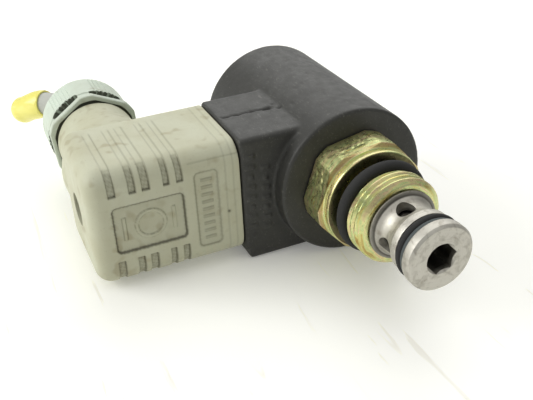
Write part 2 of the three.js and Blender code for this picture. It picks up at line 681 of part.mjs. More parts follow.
function addMovingCore() {
  const armatureRadius = tubeInner - RUN;
  const pocketFloor = armatureRear + ARMATURE_SPRING_POCKET;
  const pocketRadius = ARMATURE_SPRING_RADIUS + SPRING_WIRE / 2 + GAP;
  const pocket = ring(armatureRear - 1, pocketFloor, pocketRadius, 0, COARSE);
  const pinRoot = armatureFront - PIN_IN_ARMATURE;
  const pinHole = ring(pinRoot - GAP, armatureFront + 1, PIN_RADIUS + GAP, 0, COARSE);
  const blank = ring(armatureRear, armatureFront, armatureRadius);
  piece("armature", blank.subtract(pocket).subtract(pinHole), magnetSteel);
  piece("pilot_pin", ring(pinRoot, pinTip, PIN_RADIUS, 0, COARSE), turnedSteel);
  const springRear = poleFront + GAP + SPRING_WIRE / 2;
  const springFront = pocketFloor - GAP - SPRING_WIRE / 2;
  piece("armature_spring", spring(springRear, springFront, ARMATURE_SPRING_RADIUS, 6), springSteel);

  const poppetTip = poppetFront + poppetRadius - POPPET_TIP_RADIUS;
  const poppet = turned([
    [poppetRear, 0],
    [poppetRear, poppetRadius],
    [poppetFront, poppetRadius],
    [poppetTip, POPPET_TIP_RADIUS],
    [poppetTip, 0],
  ]);
  const pinPocket = ring(poppetRear - 1, pinTip + GAP, PIN_RADIUS + GAP, 0, COARSE);
  piece("poppet", poppet.subtract(pinPocket), turnedSteel);
  const returnRear = springChamberRear + GAP + SPRING_WIRE / 2;
  const returnFront = poppetRear - GAP - SPRING_WIRE / 2;
  piece("poppet_spring", spring(returnRear, returnFront, POPPET_SPRING_RADIUS, 3), springSteel);
}

function coilNut() {
  const hex = prism(coilNutRear, coilNutFront, COIL_NUT_ACROSS_FLATS, 6, HEX_FLAT_ANGLE);
  const cornerRadius = COIL_NUT_ACROSS_FLATS / 2 / Math.cos(Math.PI / 6);
  const envelope = turned([
    [coilNutFront, 0],
    [coilNutFront, cornerRadius],
    [coilNutRear + COIL_NUT_CHAMFER, cornerRadius],
    [coilNutRear, cornerRadius - COIL_NUT_CHAMFER_RISE],
    [coilNutRear, 0],
  ]);
  const flangeRear = coilNutFront - COIL_NUT_FLANGE_THICKNESS;
  const flange = ring(flangeRear, coilNutFront, COIL_NUT_FLANGE_RADIUS);
  const sealPocketRadius = STUD_RADIUS + RUN + COIL_RING_SECTION + GAP;
  const sealPocketRear = coilNutFront - COIL_RING_SECTION - GAP;
  const sealPocket = ring(sealPocketRear, coilNutFront + 1, sealPocketRadius);
  const bore = ring(coilNutRear - 1, coilNutFront + 1, STUD_RADIUS + RUN);
  return hex.intersect(envelope).add(flange).subtract(sealPocket).subtract(bore);
}

function addCoilNut() {
  piece("coil_nut", coilNut(), yellowZinc);
  const ringX = coilNutFront - (COIL_RING_SECTION + GAP) / 2 + GAP / 4;
  piece("coil_rear_o_ring", roundRing(ringX, STUD_RADIUS + RUN, COIL_RING_SECTION), blackRubber);
}

// ---------------------------------------------------------------- plug

/** Moves a body drawn about the valve axis to the gland's axis. */
const atGland = (body) => body.translate([0, glandAxisY, GLAND_RISE]);

function plugHousing() {
  const neck = atGland(
    turned(
      [
        [plugRear + PLUG_EDGE_RADIUS, 0],
        [plugRear + PLUG_EDGE_RADIUS, GLAND_ROOT_RADIUS],
        [plugRear, GLAND_ROOT_RADIUS],
        [plugRear - GLAND_TAPER_LENGTH, GLAND_NECK_RADIUS],
        [glandNeckEnd, GLAND_NECK_RADIUS],
        [glandNeckEnd, 0],
      ],
      FINE,
    ),
  );
  const spigot = atGland(ring(glandSpigotEnd, glandNeckEnd + 1, GLAND_SPIGOT_RADIUS));
  const bore = atGland(ring(glandSpigotEnd - 1, plugMiddle, GLAND_SPIGOT_BORE));
  const cavity = plugPrism(PLUG_WALL, plugMouth + 1, plugEnd + PLUG_END_WALL);
  const washerSeat = screwHeadSeat + SEAL_WASHER_THICKNESS + GAP * 2;
  const pocketRadius = SCREW_HEAD_RADIUS + SCREW_HEAD_ROOM;
  const headPocket = rodAlongY(plugMiddle, 0, plugEnd - 1, washerSeat, pocketRadius);
  const screwHole = rodAlongY(plugMiddle, 0, plugEnd - 1, plugMouth, SCREW_RADIUS + RUN);
  return plugBlank()
    .add(neck)
    .add(spigot)
    .subtract(bore)
    .subtract(cavity)
    .subtract(headPocket)
    .subtract(screwHole);
}

/** The half size across X and Z of a terminal about its blade. */
function terminalHalf(blade) {
  const wide = BLADE_WIDTH / 2 + TERMINAL_MARGIN;
  const thin = TERMINAL_THICKNESS / 2;
  return blade.wideInX ? [wide, thin] : [thin, wide];
}

/** A terminal's bar, larger than the terminal by a clearance. */
function terminalBar(blade, y0, y1, clearance) {
  const [dx, dz] = terminalHalf(blade).map((half) => half + clearance);
  return block([blade.x - dx, y1, blade.z - dz], [blade.x + dx, y0, blade.z + dz]);
}

/** A round bar away from the plug's middle, across a blade's line, between two distances. */
function clampBar(blade, from, to, radius) {
  const outwards = blade.wideInX ? [90 * Math.sign(blade.z), 0, 0] : [0, 0, 90];
  const body = rodAlongY(0, 0, from, to, radius).rotate(outwards);
  return body.translate([blade.x, clampScrewY, blade.z]);
}

function contactCarrier() {
  const screwHole = rodAlongY(plugMiddle, 0, plugMouth + 1, carrierEnd - 1, SCREW_RADIUS + RUN);
  let body = plugPrism(carrierInset, carrierMouth, carrierEnd).subtract(screwHole);
  for (const blade of blades) {
    const pocket = terminalBar(blade, terminalMouth + GAP, carrierEnd - 1, GAP);
    const mouthSlot = bladeBar(blade, plugMouth + 1, terminalMouth - 1, GAP);
    const reach = blade.wideInX ? PLUG_WIDTH : PLUG_DEPTH;
    const clampHole = clampBar(blade, 0, reach, CLAMP_SCREW_RADIUS + CLAMP_SCREW_ROOM);
    body = body.subtract(pocket).subtract(mouthSlot).subtract(clampHole);
  }
  return body;
}

function terminal(blade) {
  const slot = bladeBar(blade, terminalMouth + 1, plugMouth - BLADE_REACH - 1, GAP);
  const screwHole = clampBar(blade, 0, PLUG_WIDTH, CLAMP_SCREW_RADIUS + GAP);
  const wireHoleEnd = clampScrewY + 1;
  const wireHole = rodAlongY(blade.x, blade.z, terminalEnd - 1, wireHoleEnd, CORE_RADIUS + GAP);
  return terminalBar(blade, terminalMouth, terminalEnd, 0)
    .subtract(slot)
    .subtract(screwHole)
    .subtract(wireHole);
}

/** A point on the lead's route, in the valve's frame. */
const leadPoint = ([x, y, z]) => new THREE.Vector3(nutRear + x, glandAxisY + y, GLAND_RISE + z);

const leadStub = () => bar(LEAD_ROUTE.map(leadPoint), CABLE_RADIUS, 22, 6);

/** The soft sleeve pushed over the lead's cut end, open at its mouth. */
function endSleeve() {
  const curve = new THREE.CatmullRomCurve3(LEAD_ROUTE.map(leadPoint));
  const last = LEAD_ROUTE.length - 1;
  const shares = [0, 0.25, 0.5, 0.75, 1].map((t) => SLEEVE_START + t * (last - SLEEVE_START));
  const route = shares.map((share) => curve.getPoint(share / last));
  const [mouth, tip] = [route[0], route[4]];
  const along = tip.clone().sub(route[3]).normalize();
  const before = mouth.clone().sub(route[1]).normalize().add(mouth);
  const beyond = tip.clone().addScaledVector(along, GAP);
  const closed = tip.clone().addScaledVector(along, GAP + END_SLEEVE_WALL);
  const inner = CABLE_RADIUS + GAP;
  const outer = inner + END_SLEEVE_WALL;
  const body = bar([...route, closed], outer, 10, 6);
  const ball = solid(new THREE.SphereGeometry(outer, 20, 10).translate(...tip.toArray()));
  const inside = bar([before, ...route, beyond], inner, 12, 6);
  return body.add(ball).subtract(inside);
}

/** One core, from the cable's end round to its terminal. */
function leadCore(blade, i) {
  const coreStart = LEAD_ROUTE[0][0] + GAP;
  const angle = (i * 2 * Math.PI) / blades.length + Math.PI / 2;
  const [dy, dz] = [CORE_CIRCLE_RADIUS * Math.cos(angle), CORE_CIRCLE_RADIUS * Math.sin(angle)];
  const bendZ = (blade.z + 3 * dz) / 4;
  const route = [
    leadPoint([coreStart, dy, dz]),
    leadPoint([coreStart + CORE_STRAIGHT, dy, dz]),
    new THREE.Vector3(plugRear + CORE_BEND_X, glandAxisY + dy - CORE_BEND_DIP, bendZ),
    new THREE.Vector3(blade.x, terminalEnd - CORE_ENTRY_DROP, blade.z),
    new THREE.Vector3(blade.x, clampScrewY - CLAMP_SCREW_RADIUS, blade.z),
  ];
  return bar(route, CORE_RADIUS, 16, 4);
}

function addLead() {
  piece("lead_stub", leadStub(), greyJacket);
  piece("lead_end_sleeve", endSleeve(), yellowSleeve);
  blades.forEach((blade, i) => {
    piece("lead_core_" + (i + 1), leadCore(blade, i), coreColours[i]);
  });
}

function glandNut() {
  const waistFront = nutFront - NUT_HEX_THICKNESS;
  const waistRear = waistFront - NUT_WAIST_LENGTH;
  const hexBlank = prism(waistFront, nutFront, NUT_HEX_ACROSS_FLATS, 6, NUT_HEX_ANGLE);
  const hexEnvelope = ring(waistFront, nutFront, NUT_CORNER_RADIUS, 0, FINE);
  const flatRadius = NUT_CAP_RADIUS - NUT_END_RADIUS;
  const dome = [1, 0.75, 0.5, 0.25, 0].map((t) => {
    const angle = (t * Math.PI) / 2;
    const x = nutRear + NUT_END_RADIUS * (1 - Math.cos(angle));
    return [x, flatRadius + NUT_END_RADIUS * Math.sin(angle)];
  });
  const cap = turned(
    [
      [waistFront + 0.5, 0],
      [waistFront + 0.5, NUT_WAIST_RADIUS],
      [waistRear, NUT_WAIST_RADIUS],
      [waistRear, NUT_CAP_RADIUS],
      ...dome,
      [nutRear, 0],
    ],
    FINE,
  );
  const holeRear = glandSpigotEnd - GLAND_WASHER_THICKNESS - GAP * 2;
  const spigotHole = ring(holeRear, nutFront + 1, GLAND_SPIGOT_RADIUS + RUN, 0, FINE);
  const exit = ring(nutRear - 1, nutFront, CABLE_RADIUS + NUT_EXIT_ROOM, 0, COARSE);
  return atGland(hexBlank.intersect(hexEnvelope).add(cap).subtract(spigotHole).subtract(exit));
}

function addGland() {
  piece("gland_nut", glandNut(), paleMoulding);
  const cableHole = CABLE_RADIUS + GAP;
  const grommetRear = glandSpigotEnd + GAP;
  const grommetRadius = GLAND_SPIGOT_BORE - GAP;
  const grommet = ring(grommetRear, grommetRear + GROMMET_LENGTH, grommetRadius, cableHole);
  piece("gland_grommet", atGland(grommet), blackRubber);
  const washerFront = glandSpigotEnd - GAP;
  const washerRear = washerFront - GLAND_WASHER_THICKNESS;
  const washer = ring(washerRear, washerFront, GLAND_SPIGOT_RADIUS - GAP, cableHole);
  piece("gland_washer", atGland(washer), turnedSteel);
}

function connectorScrew() {
  const shankFoot = screwHeadSeat - SCREW_HEAD_HEIGHT / 2;
  const shank = rodAlongY(plugMiddle, 0, shankFoot, neckEnd + SCREW_GRIP, SCREW_RADIUS);
  const head = rodAlongY(plugMiddle, 0, screwHeadTop, screwHeadSeat, SCREW_HEAD_RADIUS);
  const slotReach = SCREW_HEAD_RADIUS * 2;
  const slot = block(
    [plugMiddle - slotReach, screwHeadTop - 1, -SCREW_SLOT_HALF],
    [plugMiddle + slotReach, screwHeadTop + SCREW_SLOT_DEPTH, SCREW_SLOT_HALF],
  );
  return shank.add(head).subtract(slot);
}

function addPlug() {
  piece("connector_housing", plugHousing(), greyMoulding);
  piece("contact_carrier", contactCarrier(), blackMoulding);
  blades.forEach((blade, i) => {
    const name = blade.wideInX ? "terminal_" + (i + 1) : "earth_terminal";
    piece(name, terminal(blade), brass);
    const screwEnd = TERMINAL_THICKNESS / 2 + CLAMP_SCREW_STAND;
    const screw = clampBar(blade, CORE_RADIUS + GAP, screwEnd, CLAMP_SCREW_RADIUS);
    piece("clamp_screw_" + (i + 1), screw, springSteel);
  });
  const below = gasketOuter - 1;
  const screwHole = rodAlongY(plugMiddle, 0, neckEnd, below, SCREW_RADIUS + RUN);
  let gasket = plugPrism(PLUG_WALL + GAP, plugMouth, gasketOuter).subtract(screwHole);
  for (const blade of blades) gasket = gasket.subtract(bladeBar(blade, 0, below, GAP));
  piece("connector_gasket", gasket, blackRubber);
  piece("connector_screw", connectorScrew(), springSteel);
  const washerOuter = screwHeadSeat + GAP;
  const washerInner = washerOuter + SEAL_WASHER_THICKNESS;
  const [outer, inner] = [SCREW_HEAD_RADIUS + GAP, SCREW_RADIUS + GAP];
  const washer = rodAlongY(plugMiddle, 0, washerOuter, washerInner, outer, inner);
  piece("screw_seal_washer", washer, blackRubber);
}

// ---------------------------------------------------------------- assembly
addCoil();
addCartridge();
addMovingCore();
addCoilNut();
addPlug();
addGland();
addLead();

// Lying on a table: the plug droops until the foot under the neck touches.
const footReach = -neckEnd - NECK_FOOT_SETBACK;
const footDistance = Math.hypot(footReach, neckFoot);
const droop = Math.asin(COIL_RADIUS / footDistance) - Math.atan2(neckFoot, footReach);
valve.rotation.x = droop;

// The origin is under the middle of the whole valve, on the table.
const assembly = new THREE.Group();
assembly.add(valve);
assembly.updateMatrixWorld(true);
const bounds = new THREE.Box3().setFromObject(assembly, true);
const middle = bounds.getCenter(new THREE.Vector3());
valve.position.set(-middle.x, -middle.y, -bounds.min.z);

export default assembly;
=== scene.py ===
"""Looks of a screw-in solenoid cartridge valve with its coil, cable plug and cut lead.

Every piece is drawn in the valve's own frame, in millimetres: X runs along the valve's axis
towards its nose, the coil's front face is at x = 0, and the plug stands out of the coil
towards -Y. Angles about the axis run from +Y towards +Z. The valve's frame is found from the
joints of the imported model, so each piece lands where the CAD has it.
"""

import json
import logging
import math
from dataclasses import dataclass
from enum import Enum
from typing import Callable, Sequence

import bpy
import numpy as np
from mathutils import Matrix, Vector, noise

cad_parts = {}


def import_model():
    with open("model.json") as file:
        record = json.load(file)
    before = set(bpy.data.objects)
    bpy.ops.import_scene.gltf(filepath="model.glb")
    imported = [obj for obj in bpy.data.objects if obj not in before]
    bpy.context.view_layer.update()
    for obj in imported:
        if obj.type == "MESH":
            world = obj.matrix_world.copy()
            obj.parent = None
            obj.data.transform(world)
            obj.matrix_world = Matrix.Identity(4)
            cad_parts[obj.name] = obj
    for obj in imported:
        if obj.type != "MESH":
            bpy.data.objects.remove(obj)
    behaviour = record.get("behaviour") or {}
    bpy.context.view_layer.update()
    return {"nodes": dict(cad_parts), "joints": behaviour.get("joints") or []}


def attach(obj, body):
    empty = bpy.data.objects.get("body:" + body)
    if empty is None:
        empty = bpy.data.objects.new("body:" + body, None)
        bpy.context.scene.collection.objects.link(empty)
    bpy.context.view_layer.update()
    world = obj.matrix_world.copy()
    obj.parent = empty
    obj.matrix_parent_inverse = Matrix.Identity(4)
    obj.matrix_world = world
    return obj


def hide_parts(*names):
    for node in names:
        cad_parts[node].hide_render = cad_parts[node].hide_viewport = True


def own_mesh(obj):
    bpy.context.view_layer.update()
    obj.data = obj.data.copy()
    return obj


LOG = logging.getLogger("valve")
MM = 0.001
FULL_TURN = 2 * math.pi
Point2 = tuple[float, float]
Point3 = tuple[float, float, float]
Colour = tuple[float, float, float]


class Body(str, Enum):
    """The moving bodies that made pieces ride on."""

    COIL = "coil"
    CARTRIDGE = "cartridge"
    COIL_NUT = "coil_nut"
    PLUG = "plug"
    CONNECTOR_SCREW = "connector_screw"
    GLAND_NUT = "gland_nut"


def srgb(red: int, green: int, blue: int) -> Colour:
    """A colour given as screen values 0 to 255, in the linear values that shaders take.

    Args:
        red: Red, 0 to 255.
        green: Green, 0 to 255.
        blue: Blue, 0 to 255.

    Returns:
        The three linear values.
    """

    def linear(value: int) -> float:
        """One screen value as a linear one."""
        share = value / 255
        return share / 12.92 if share <= 0.04045 else ((share + 0.055) / 1.055) ** 2.4

    return (linear(red), linear(green), linear(blue))


def smoothstep(low: float, high: float, value: np.ndarray) -> np.ndarray:
    """A soft step from 0 below low to 1 above high.

    Args:
        low: Where the step starts.
        high: Where the step ends.
        value: The values to step.

    Returns:
        The stepped values.
    """
    share = np.clip((value - low) / (high - low), 0, 1)
    return share * share * (3 - 2 * share)


# ---- the valve's frame


@dataclass(frozen=True)
class ValveFrame:
    """Where the valve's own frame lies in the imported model's frame."""

    matrix: Matrix

    @classmethod
    def from_joints(cls, joints: Sequence[dict]) -> "ValveFrame":
        """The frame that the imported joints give.

        Args:
            joints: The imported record's joints.

        Returns:
            The frame: its origin lies on the turning axis, and -Y is the way the plug pulls off.
        """
        named = {joint["name"]: joint for joint in joints}
        x_axis = Vector(named["cartridge_turn"]["axis"]).normalized()
        y_axis = -Vector(named["plug_pull"]["axis"]).normalized()
        z_axis = x_axis.cross(y_axis).normalized()
        turn = Matrix((x_axis, y_axis, z_axis)).transposed().to_4x4()
        return cls(Matrix.Translation(named["cartridge_turn"]["pos_m"]) @ turn)

    def place(self, point: Point3) -> Vector:
        """A point of the valve, in metres in the model's frame."""
        return self.matrix @ (Vector(point) * MM)

    def direction(self, way: Point3) -> Vector:
        """A direction of the valve, in the model's frame."""
        return self.matrix.to_3x3() @ Vector(way)


def placed(name: str, data: bpy.types.ID) -> bpy.types.Object:
    """A new object that holds some data, in the scene.

    Args:
        name: The object's name.
        data: Its mesh, light or camera.

    Returns:
        The object.
    """
    made = bpy.data.objects.new(name, data)
    bpy.context.scene.collection.objects.link(made)
    return made


# ---- shaping


class Solid:
    """A closed body in the valve's frame, in millimetres, while it is being shaped."""

    def __init__(self, mesh: bpy.types.Mesh) -> None:
        """Holds the mesh."""
        self.mesh = mesh

    @classmethod
    def from_data(cls, points: np.ndarray, faces: Sequence[Sequence[int]]) -> "Solid":
        """A body from points and faces, turned so that its faces point out.

        Args:
            points: An array of points, three numbers each.
            faces: For each face, the indices of its points.

        Returns:
            The body.
        """
        mesh = bpy.data.meshes.new("solid")
        mesh.from_pydata(points.tolist(), [], [list(face) for face in faces])
        mesh.update()
        solid = cls(mesh)
        if solid.volume() < 0:
            mesh.flip_normals()
        return solid

    @classmethod
    def shell(cls, rings: Sequence[np.ndarray], looped: bool) -> "Solid":
        """A body from rings of points, each joined to the next.

        Args:
            rings: The rings, all with the same number of points.
            looped: True if the last ring joins the first; the two ends are filled otherwise.

        Returns:
            The body.
        """
        count = len(rings[0])
        faces: list[list[int]] = []
        for row in range(len(rings) if looped else len(rings) - 1):
            near, far = row * count, ((row + 1) % len(rings)) * count
            for i in range(count):
                after = (i + 1) % count
                faces.append([near + i, near + after, far + after, far + i])
        if not looped:
            last = (len(rings) - 1) * count
            faces.append(list(range(count)))
            faces.append([last + i for i in reversed(range(count))])
        return cls.from_data(np.concatenate(rings), faces)

    @classmethod
    def joined(cls, *parts: "Solid") -> "Solid":
        """Several bodies as one mesh of separate shells.

        Args:
            *parts: The bodies.

        Returns:
            The bodies as one.
        """
        points, faces, shift = [], [], 0
        for part in parts:
            points.append(part.points())
            faces += [[shift + i for i in face.vertices] for face in part.mesh.polygons]
            shift += len(part.mesh.vertices)
        return cls.from_data(np.concatenate(points), faces)

    def points(self) -> np.ndarray:
        """The body's points, as an array with three columns.

        Returns:
            The points.
        """
        values = np.zeros(len(self.mesh.vertices) * 3)
        self.mesh.vertices.foreach_get("co", values)
        return values.reshape(-1, 3)

    def volume(self) -> float:
        """The signed volume, negative when the faces point in.

        Returns:
            The volume, in cubic millimetres.
        """
        self.mesh.calc_loop_triangles()
        corners = np.zeros(len(self.mesh.loop_triangles) * 3, dtype=np.int32)
        self.mesh.loop_triangles.foreach_get("vertices", corners)
        a, b, c = np.moveaxis(self.points()[corners.reshape(-1, 3)], 1, 0)
        return float(np.einsum("ij,ij->i", a, np.cross(b, c)).sum() / 6)

    def _worked(self, work: Callable[[bpy.types.Object], None]) -> "Solid":
        """The body after some modifiers, applied.

        Args:
            work: Adds the modifiers to the object that it is given.

        Returns:
            The new body.
        """
        holder = placed("holder", self.mesh)
        work(holder)
        graph = bpy.context.evaluated_depsgraph_get()
        mesh = bpy.data.meshes.new_from_object(holder.evaluated_get(graph), depsgraph=graph)
        bpy.data.objects.remove(holder)
        return Solid(mesh)

    def _combined(self, other: "Solid", operation: str) -> "Solid":
        """The body joined with or cut by another one.

        Args:
            other: The other body.
            operation: Blender's name for the operation.

        Returns:
            The new body.
        """
        tool = placed("tool", other.mesh)

        def work(holder: bpy.types.Object) -> None:
            """Adds the cut.

            Args:
                holder: The object that holds the body.
            """
            cut = holder.modifiers.new("cut", "BOOLEAN")
            cut.solver = "EXACT"
            cut.operation = operation
            cut.object = tool

        result = self._worked(work)
        bpy.data.objects.remove(tool)
        return result

    def minus(self, *cutters: "Solid") -> "Solid":
        """The body with each cutter taken out of it.

        Args:
            *cutters: The bodies to take out.

        Returns:
            The new body.
        """
        result = self
        for cutter in cutters:
            result = result._combined(cutter, "DIFFERENCE")
        return result

    def plus(self, other: "Solid") -> "Solid":
        """The body joined with another one."""
        return self._combined(other, "UNION")

    def moulded(self, voxel: float, rounds: int) -> "Solid":
        """The body's shells fused into one even skin, with soft edges.

        Args:
            voxel: The skin's mesh size.
            rounds: How many times the skin is smoothed.

        Returns:
            The new body.
        """

        def work(holder: bpy.types.Object) -> None:
            """Adds the skin and its smoothing.

            Args:
                holder: The object that holds the body.
            """
            skin = holder.modifiers.new("skin", "REMESH")
            skin.mode = "VOXEL"
            skin.voxel_size = voxel
            soft = holder.modifiers.new("soft", "SMOOTH")
            soft.factor = 0.5
            soft.iterations = rounds

        return self._worked(work)

    def pressed(
        self, depth: Callable[[np.ndarray, np.ndarray], tuple[np.ndarray, np.ndarray]]
    ) -> "Solid":
        """The body with its skin pressed in, and its darkening noted: dirt on some pieces, painted
        shade on others.

        Args:
            depth: Takes points and normals, and gives how far each point is pressed in and
            how dark it is painted, from 0 to 1: dirt on some pieces, painted shade on others.

        Returns:
            This body, changed.
        """
        normals = np.zeros(len(self.mesh.vertices) * 3)
        self.mesh.vertices.foreach_get("normal", normals)
        normals = normals.reshape(-1, 3)
        points = self.points()
        inwards, dirt = depth(points, normals)
        moved = points - normals * inwards[:, None]
        self.mesh.vertices.foreach_set("co", moved.ravel())
        # The noted darkening: dirt, and on the gland nut painted shade.
        grime_and_shade = self.mesh.attributes.new("grime_and_shade", "FLOAT", "POINT")
        grime_and_shade.data.foreach_set("value", dirt.astype(np.float32))
        self.mesh.update()
        return self


@dataclass(frozen=True)
class Turning:
    """Bodies turned about the valve's axis or about a line beside it."""

    columns: int = 128
    centre: Point2 = (0.0, 0.0)

    def angles(self) -> np.ndarray:
        """The angle of each column of points."""
        return np.linspace(0, FULL_TURN, self.columns, endpoint=False)

    def ring(
        self, x: np.ndarray | float, radius: np.ndarray | float, angles: np.ndarray
    ) -> np.ndarray:
        """One ring of points about the axis.

        Args:
            x: Place along the axis, one value or one for each column.
            radius: Distance from the axis, one value or one for each column.
            angles: The columns' angles.

        Returns:
            The points.
        """
        across = self.centre[0] + radius * np.cos(angles)
        up = self.centre[1] + radius * np.sin(angles)
        return np.stack([np.broadcast_to(x, angles.shape), across, up], axis=1)

    def body(self, outline: Sequence[Point2]) -> Solid:
        """A body turned from a closed outline.

        Args:
            outline: Points of (place along the axis, distance from it).

        Returns:
            The body.
        """
        angles = self.angles()
        return Solid.shell([self.ring(x, radius, angles) for x, radius in outline], looped=True)


def rounded(outline: Sequence[Point3], looped: bool = True, steps: int = 4) -> list[Point2]:
    """An outline with its corners rounded.

    Args:
        outline: Points of (x, radius, corner rounding).
        looped: True if the outline closes on itself.
        steps: Points on each rounded corner, less one.

    Returns:
        The points of the rounded outline.
    """
    result: list[Point2] = []
    count = len(outline)
    for i, (x, y, fillet) in enumerate(outline):
        corner = np.array([x, y])
        at_end = not looped and i in (0, count - 1)
        if fillet <= 0 or at_end:
            result.append((x, y))
            continue
        before = np.array(outline[i - 1][:2]) - corner
        after = np.array(outline[(i + 1) % count][:2]) - corner
        reach = min(fillet, 0.45 * np.linalg.norm(before), 0.45 * np.linalg.norm(after))
        start = corner + before / np.linalg.norm(before) * reach
        end = corner + after / np.linalg.norm(after) * reach
        for t in np.linspace(0, 1, steps + 1):
            point = (1 - t) ** 2 * start + 2 * t * (1 - t) * corner + t**2 * end
            result.append((float(point[0]), float(point[1])))
    return result


def box(low: Point3, high: Point3) -> Solid:
    """A block between two corners.

    Args:
        low: The lowest corner.
        high: The highest corner.

    Returns:
        The block.
    """
    (x0, y0, z0), (x1, y1, z1) = low, high
    rings = [np.array([[x0, y, z0], [x1, y, z0], [x1, y, z1], [x0, y, z1]]) for y in (y0, y1)]
    return Solid.shell(rings, looped=False)


def round_box_outline(centre: Point2, half: Point2, radius: float) -> np.ndarray:
    """A rectangle with round corners in the X-Z plane.

    Args:
        centre: The middle, in X and Z.
        half: Half the size in X and Z.
        radius: The corners' radius.

    Returns:
        The outline's X and Z values.
    """
    corner_points = 9
    points = []
    for quarter, (sx, sz) in enumerate(((1, 1), (-1, 1), (-1, -1), (1, -1))):
        middle = (centre[0] + sx * (half[0] - radius), centre[1] + sz * (half[1] - radius))
        for angle in np.linspace(0, math.pi / 2, corner_points) + quarter * math.pi / 2:
            across, up = radius * math.cos(angle), radius * math.sin(angle)
            points.append((middle[0] + across, middle[1] + up))
    return np.array(points)


def ring_across_y(x: np.ndarray, z: np.ndarray, y: float) -> np.ndarray:
    """A ring of points at one place along Y, from their X and Z values."""
    return np.stack([x, np.full(len(x), y), z], axis=1)


def rod_along_y(x: float, z: float, y0: float, y1: float, radius: float, columns: int = 48) -> Solid:
    """A round rod along Y.

    Args:
        x: The rod's middle in X.
        z: The rod's middle in Z.
        y0: One end.
        y1: The other end.
        radius: The rod's radius.
        columns: Points around it.

    Returns:
        The rod.
    """
    angles = np.linspace(0, FULL_TURN, columns, endpoint=False)
    across, up = x + radius * np.cos(angles), z + radius * np.sin(angles)
    return Solid.shell([ring_across_y(across, up, y) for y in (y0, y1)], looped=False)


@dataclass(frozen=True)
class Hexagon:
    """A hexagon about the axis: its size across flats, its corners' radius, one flat's angle."""

    across_flats: float
    corner: float
    flat_angle: float

    def from_flat(self, angles: np.ndarray) -> np.ndarray:
        """The angle from each column to the nearest flat's middle, signed, in radians."""
        sixth = FULL_TURN / 6
        return (angles - math.radians(self.flat_angle) + sixth / 2) % sixth - sixth / 2

    def radius(self, angles: np.ndarray) -> np.ndarray:
        """How far out the hexagon reaches at each angle, where its corners are turned off."""
        return np.minimum(self.across_flats / 2 / np.cos(self.from_flat(angles)), self.corner)

    def columns(self, on_flat: int, on_corner: int) -> np.ndarray:
        """Column angles with one exactly at each edge between a flat and a turned corner.

        Args:
            on_flat: Steps across each flat.
            on_corner: Steps across each turned corner.

        Returns:
            The angles, in rising order.
        """
        half = math.acos(self.across_flats / 2 / self.corner)
        sixth = FULL_TURN / 6
        angles: list[float] = []
        for side in range(6):
            middle = math.radians(self.flat_angle) + side * sixth
            edge, next_edge = middle + half, middle + sixth - half
            angles += list(np.linspace(middle - half, edge, on_flat, endpoint=False))
            angles += list(np.linspace(edge, next_edge, on_corner, endpoint=False))
        return np.array(angles)


def hexagon_prism(x0: float, x1: float, across_flats: float, flat_angle: float) -> Solid:
    """A hexagonal bar along the axis.

    Args:
        x0: The rear end.
        x1: The front end.
        across_flats: The distance across flats.
        flat_angle: The angle of one flat's middle, in degrees.

    Returns:
        The bar.
    """
    angles = math.radians(flat_angle + 30) + np.arange(6) * FULL_TURN / 6
    corner = across_flats / 2 / math.cos(math.pi / 6)
    turning = Turning(columns=6)
    return Solid.shell([turning.ring(x, corner, angles) for x in (x0, x1)], looped=False)


@dataclass(frozen=True)
class Route:
    """A smooth line through some points, drawn as the CAD draws it."""

    points: tuple[Point3, ...]

    def at(self, share: float) -> np.ndarray:
        """The point at a share of the way from the first point to the last.

        Args:
            share: The share, from 0 to 1.

        Returns:
            The point.
        """
        known = [np.array(point, float) for point in self.points]
        known = [2 * known[0] - known[1], *known, 2 * known[-1] - known[-2]]
        spans = len(self.points) - 1
        index = min(int(share * spans), spans - 1)
        t = share * spans - index
        p0, p1, p2, p3 = known[index : index + 4]
        d0, d1, d2 = (np.linalg.norm(b - a) ** 0.5 for a, b in ((p0, p1), (p1, p2), (p2, p3)))
        m1 = ((p1 - p0) / d0 - (p2 - p0) / (d0 + d1) + (p2 - p1) / d1) * d1
        m2 = ((p2 - p1) / d1 - (p3 - p1) / (d1 + d2) + (p3 - p2) / d2) * d1
        h1, h2 = 2 * t**3 - 3 * t**2 + 1, -2 * t**3 + 3 * t**2
        h3, h4 = t**3 - 2 * t**2 + t, t**3 - t**2
        return h1 * p1 + h2 * p2 + h3 * m1 + h4 * m2

    def swept(self, shares: Sequence[float], radii: Sequence[float], columns: int) -> list[np.ndarray]:
        """Rings of points across the line.

        Args:
            shares: Where each ring lies, as a share of the way.
            radii: Each ring's radius.
            columns: Points on each ring.

        Returns:
            The rings.
        """
        angles = np.linspace(0, FULL_TURN, columns, endpoint=False)
        rings = []
        for share, radius in zip(shares, radii):
            ahead = self.at(min(share + 0.01, 1)) - self.at(max(share - 0.01, 0))
            ahead /= np.linalg.norm(ahead)
            side = np.cross(ahead, (0, 0, 1.0))
            side /= np.linalg.norm(side)
            up = np.cross(side, ahead)
            circle = np.outer(np.cos(angles), side) + np.outer(np.sin(angles), up)
            rings.append(self.at(share) + radius * circle)
        return rings


# ---- finishes


